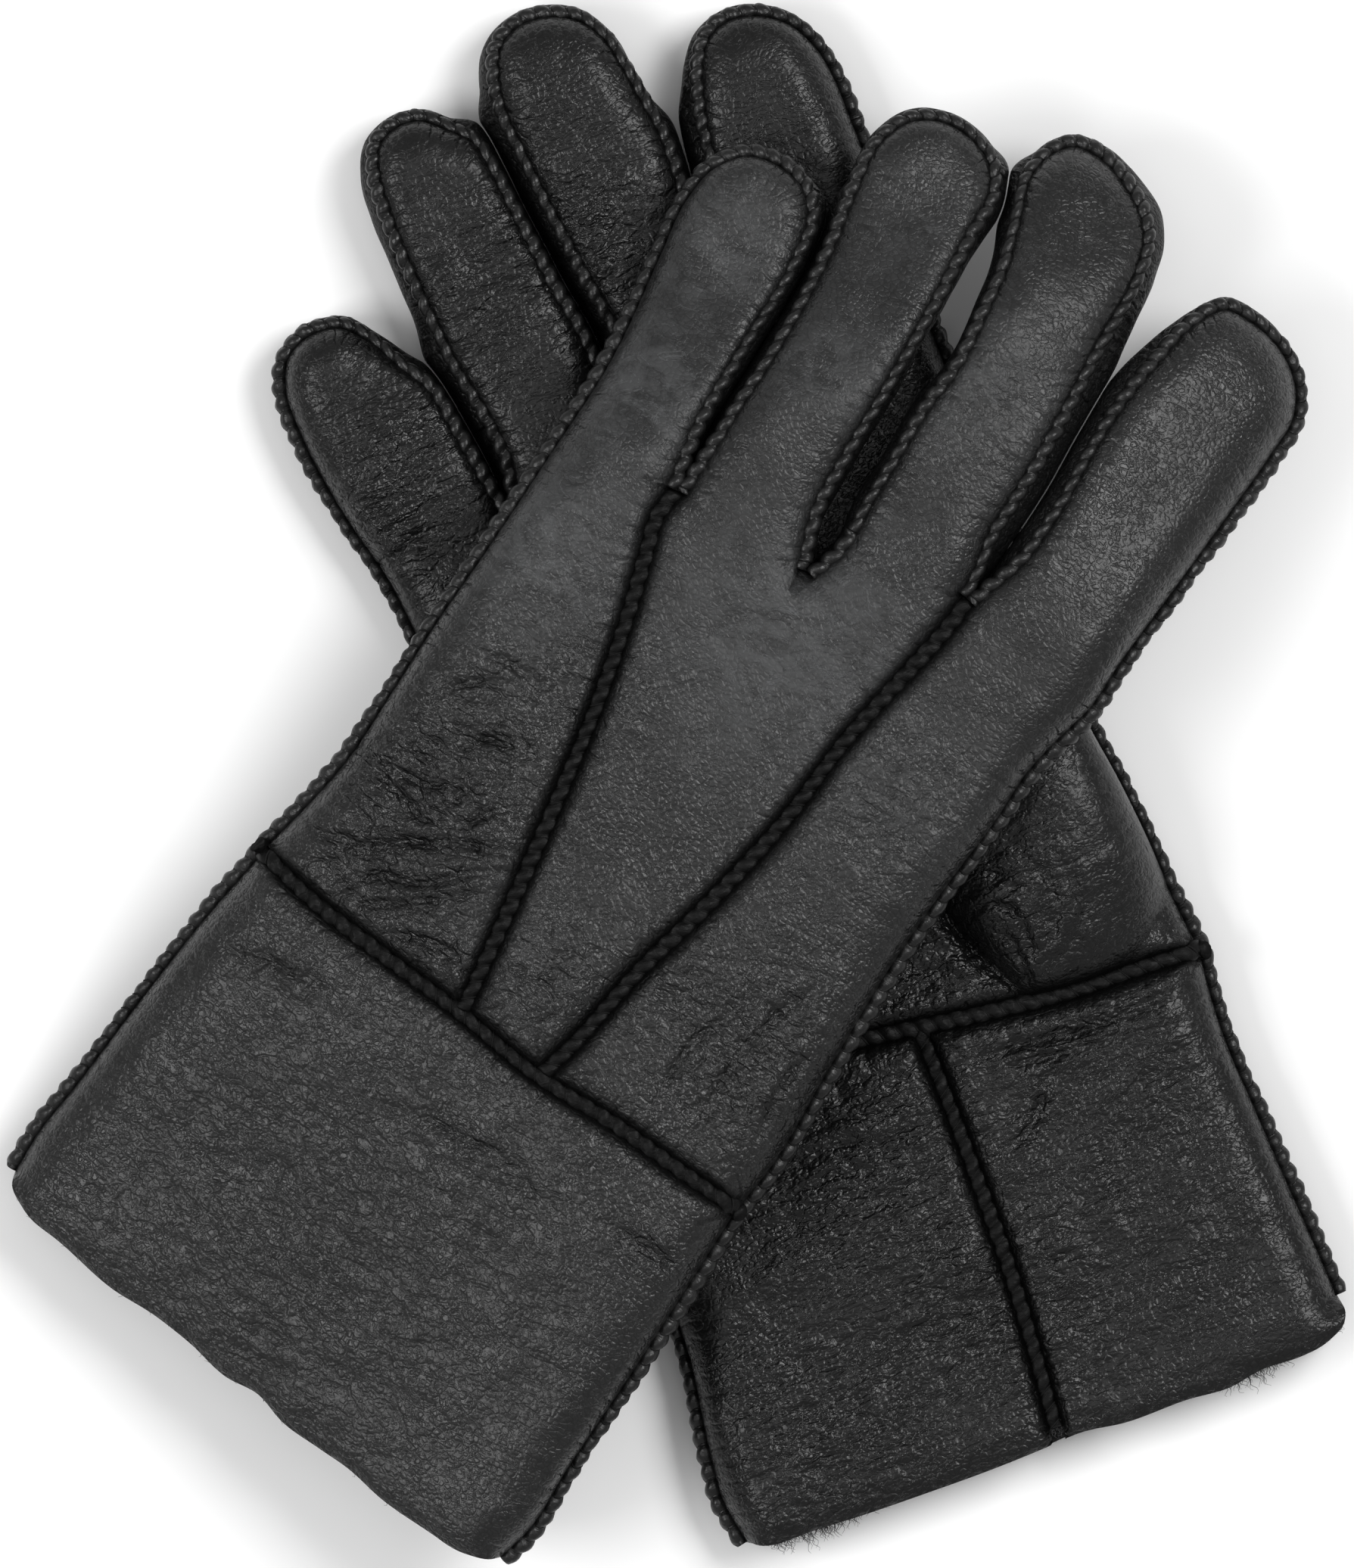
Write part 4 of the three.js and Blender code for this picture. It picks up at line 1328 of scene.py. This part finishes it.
ROPE_STAND = 0.75  # from a panel's edge to the middle of its rope
DARK_ROPE_DEPTH = 0.35  # from a groove's bottom to the middle of its rope
DARK_ROPE = {"height": 1.4, "width": 2.3}  # halves of its size
SEAM_NODES = {
    "left": {
        "sewn_edges": ["left_outer_side_edge", "left_inner_side_edge"],
        "stitches": ["left_back_seam_thread"],
    },
    "right": {
        "sewn_edges": ["right_outer_side_edge", "right_inner_side_edge",
                       *(f"right_{a}_{b}_fourchette" for a, b in zip(FINGERS, FINGERS[1:]))],
        "stitches": ["right_palm_seam_thread"],
    },
}


def add_seams(plan, shapes, cuff_sides, wrist, seams, split):
    """Every sewn edge of a glove, as pillows of leather with thread round them."""
    side = plan["name"]
    back_top = plan["face"] == "back"
    # The ropes in the grooves take the painted-shade copy of the edge leather.
    materials = {"sewn_edges": EDGE_LEATHER[side], "inner_seams": SHADED_EDGE_LEATHER, "stitches": THREAD}
    made = {owner: {kind: [] for kind in materials} for owner in (None, *FINGERS)}

    def sew(owner, centre, along, out, kind="sewn_edges", **size):
        if len(centre) < 2:
            return
        centre, along, out = finer(centre), finer(along), finer(out)
        centre = centre + 0.2 * out * noise(along / 6, centre[:, 0] / 40, 13)[:, None]
        made[owner][kind].append(rope(centre, along, out, **size))
        made[owner]["stitches"].append(wraps(centre, along, out, **size))

    def sew_split(finger, centre, along, out):
        """Cuts a seam where its finger starts to bend."""
        on = BENDS[side][finger].past(centre) > 0
        starts = [0, *(np.flatnonzero(np.diff(on)) + 1), len(centre)]
        for a, b in zip(starts[:-1], starts[1:]):
            stop = min(b + 1, len(centre))
            sew(finger if on[a] else None, centre[a:stop], along[a:stop], out[a:stop])

    up = np.array((0, 0, 1.0))
    for finger in FINGERS:
        shape = shapes[finger]
        flat = outwards(shape["curve"])
        lean = smoothstep(shape["rise"], 0.0, 0.4)[:, None]  # 0 where back and palm meet
        for face in (1, -1):
            out = unit(flat * (1 - 0.45 * lean) + face * up * 0.75 * lean)
            height = HALF + face * HALF * shape["rise"]
            centre = resting(plan, shape["panel"], height) + out * ROPE_STAND
            rows = np.flatnonzero((shape["rise"] > 0.1) | (face == 1))
            sew_split(finger, centre[rows], shape["along"][rows], out[rows])
    for sides in cuff_sides.values():
        out = outwards(sides["curve"])
        centre = resting(plan, sides["panel"], HALF) + out * ROPE_STAND
        sew(None, centre, sides["along"], out)
    outline = [s["panel"] for s in (shapes["little"], shapes["index"], *cuff_sides.values())]
    for face in (1, -1):
        grooves = [wrist] + (seams if (face == 1) == back_top else [split])
        for curve, along in grooves:
            out = np.tile(face * up, (len(curve), 1))
            from_side = np.min([nearest(curve, line)[0] for line in outline], axis=0)
            sunk = np.cbrt(GROOVE**3 + (HALF * (1 - crown(from_side / SIDE_SLOPE))) ** 3)
            height = HALF + face * (HALF - np.minimum(sunk, HALF - 0.3))
            centre = resting(plan, curve, height) - out * DARK_ROPE_DEPTH
            inner = along < along[-1] - (EDGE_INSET if curve is split[0] else 0)
            sew(None, centre[inner], along[inner], out[inner], "inner_seams", **DARK_ROPE)
    for owner, kinds in made.items():
        body = f"{owner}_finger" if owner else "hand"
        for kind, parts in kinds.items():
            if not parts:
                continue
            piece = new_object(f"{side}_{body}_{kind}", *joined(parts), [materials[kind]])
            replaced = [] if owner else SEAM_NODES[side].get(kind, [])
            settle(piece, side, owner, replaced)


THUMB_ROOT = 0.68  # of its half width, where it comes out of the palm
THUMB_SWELL = 0.6  # of its sides
THUMB_SLOPE = 7.0  # how far in from its seam it reaches its full height
THUMB_DEPTH = 3  # how far into the palm it starts
THUMB_RISE = 28  # how far along it lies level


def add_thumb(plan):
    """The thumb, pressed flat between the gloves: an outer and an inner skin, sewn round the edge."""
    side, given = plan["name"], plan["thumb"]
    base, tip = np.array(given["base"], float), np.array(given["tip"], float)
    ahead = (tip - base) / np.linalg.norm(tip - base)
    across = np.array((ahead[1], -ahead[0]))
    root = THUMB_ROOT * given["half_width"]
    sides = [(f, root + (given["radius"] - root) * f + THUMB_SWELL * math.sin(f * math.pi))
             for f in (0.25, 0.5, 0.75)]
    near, far = ([base + (tip - base) * f + across * sign * w for f, w in sides] for sign in (-1, 1))
    turns = [math.pi * k / 8 for k in range(9)]
    end = [tip + given["radius"] * (ahead * math.sin(a) - across * math.cos(a)) for a in turns]
    curve, along = spline([base - across * root, *near, *end, *far[::-1], base + across * root])
    half = THUMB_THICKNESS / 2
    face = 1 if side == "right" else -1
    height = THICKNESS + GAP + half if side == "right" else -GAP - half

    def middle(p):
        """A thumb comes out of its root in the palm, and then lies level."""
        rest = smoothstep((p - base) @ ahead, 0, THUMB_RISE)
        return height - face * (half + THUMB_DEPTH) * (1 - rest)

    panel = curve + right_of(curve) * EDGE_INSET
    stitched = Edge(panel, along, half, THUMB_SLOPE)
    open_end = Edge(np.array([panel[-1], panel[0]]), np.zeros(2), 0.0, 1.0, stitched=False)
    for top in (True, False):
        surface = Surface(plan, [stitched, open_end], top, half - 0.3, middle, seed=71 + top)
        outer = top == (side == "right")
        name = "thumb_outer" if outer else "thumb_inner"
        piece = skin_object(f"{side}_{name}_skin", surface, np.ones(len(surface.triangles), bool),
                            LEATHER[side], WOOL)
        settle(piece, side, None, [f"{side}_{name}"])
    out = outwards(curve)
    centre = resting(plan, panel, middle(panel)) + out * ROPE_STAND
    seam = finer(centre), finer(along), finer(out)
    edge = new_object(f"{side}_thumb_edge", *rope(*seam), [EDGE_LEATHER[side]])
    settle(edge, side, None)
    stitches = new_object(f"{side}_thumb_stitches", *wraps(*seam), [THREAD])
    settle(stitches, side, None)


STRANDS = 2600
STRAND_STEPS = 9
STRAND_RADIUS = 0.11  # at its root
NOT_AHEAD = (0.3, 0.2, 0.93)  # a direction that no strand has
WOOL_LAYER = (4.4, 7.0)  # its heights over and under the glove's middle
CORNER_POINTS = 9  # of the hem's curve, at each end, that have no wool


def add_hem_wool(plan, seed):
    """Curled strands of wool along the cuff's mouth, longer where tufts hang out of it."""
    side = plan["name"]
    random = np.random.default_rng(seed)
    hem, _ = spline(plan["hem"])
    out = -right_of(hem)
    strands = []
    for _ in range(STRANDS):
        i = random.integers(CORNER_POINTS, len(hem) - CORNER_POINTS)
        tuft = blobs(hem[i:i + 1], plan["tufts"])[0]
        start = hem[i] - out[i] * random.uniform(2.4 - 1.6 * tuft, 6.5) + random.normal(0, 0.5, 2)
        level = random.choice((-1, 1)) * random.uniform(*WOOL_LAYER)
        length = random.uniform(1.8, 3.2) + 3.4 * tuft * random.uniform(0.3, 1.2)
        t = np.linspace(0, 1, STRAND_STEPS)
        curl, phase = random.uniform(0.35, 0.8), random.uniform(0, 2 * math.pi)
        aside = random.normal(0, 0.5)
        way = np.array((out[i][1], -out[i][0]))
        xy = (start + out[i] * (t * length)[:, None] * 0.72
              + way * (aside * t + curl * np.sin(t * 9 + phase) * t)[:, None])
        z = HALF + level + curl * np.cos(t * 9 + phase) * t
        z = z - np.sign(level) * t * random.uniform(0.2, 1.6)
        centre = resting(plan, xy, np.maximum(z, 0.4) if plan is right else z)
        ahead = tangents(centre)
        a = unit(np.cross(ahead, NOT_AHEAD))
        b = np.cross(ahead, a)
        radius = STRAND_RADIUS * (1 - 0.75 * t)[:, None]
        ring = np.stack([centre + radius * (math.cos(turn) * a + math.sin(turn) * b)
                         for turn in (0, 2.0944, 2 * 2.0944)], 1)
        strands.append((ring.reshape(-1, 3), grid_faces(STRAND_STEPS, 3)))
    piece = new_object(f"{side}_cuff_wool", *joined(strands), [WOOL])
    settle(piece, side, None)


# Camera, light and floor --------

SHOT = (267.0, 309.25)  # what the picture shows of the table
CAMERA_HEIGHT = 6000
LAMPS = {"key": ((0.9, 0.5, 1.7), 24), "left": ((-1.1, -0.2, 1.5), 15), "top": ((0, 0, 2), 2.1)}
LAMP_SIZE = 0.8  # metres, as the lamps' places are
FLOOR_HALF = 6000


def add_camera():
    data = bpy.data.cameras.new("camera")
    data.sensor_fit = "VERTICAL"
    data.sensor_height = 36
    data.lens = data.sensor_height * (CAMERA_HEIGHT - HALF) / SHOT[1]
    data.clip_end = 100
    bpy.context.scene.camera = placed("camera", data, (0, 0, CAMERA_HEIGHT * MM))


def add_light(name, place, power):
    """A square lamp, turned to the gloves."""
    data = bpy.data.lights.new(name, "AREA")
    data.shape = "RECTANGLE"
    data.size = data.size_y = LAMP_SIZE
    data.energy = power
    lamp = placed(name, data, place)
    lamp.visible_camera = False
    lamp.rotation_euler = (Vector() - lamp.location).to_track_quat("-Z", "Y").to_euler()


def add_stage():
    s = Shader("floor")
    s.set("Base Color", s.mix(s.noise((60, 60, 60), 0.0, 3.0), grey(0.86), grey(0.88)))
    s.set("Roughness", 0.9)
    corners = FLOOR_HALF * np.array([(-1, -1, 0), (1, -1, 0), (1, 1, 0), (-1, 1, 0)], float)
    floor = new_object("floor", corners - (0, 0, 0.05), [[0, 1, 2, 3]], [s.material])
    world = bpy.data.worlds.new("studio")
    world.use_nodes = True
    background = world.node_tree.nodes["Background"]
    background.inputs["Color"].default_value = (1, 1, 1, 1)
    background.inputs["Strength"].default_value = 0.5
    bpy.context.scene.world = world
    for name, (place, power) in LAMPS.items():
        add_light(name, place, power)
    bpy.context.scene.view_settings.view_transform = "Standard"


add_camera()
add_stage()
for glove in (right, left):
    build_hand(glove)
    add_thumb(glove)
    add_hem_wool(glove, 5 if glove is right else 6)
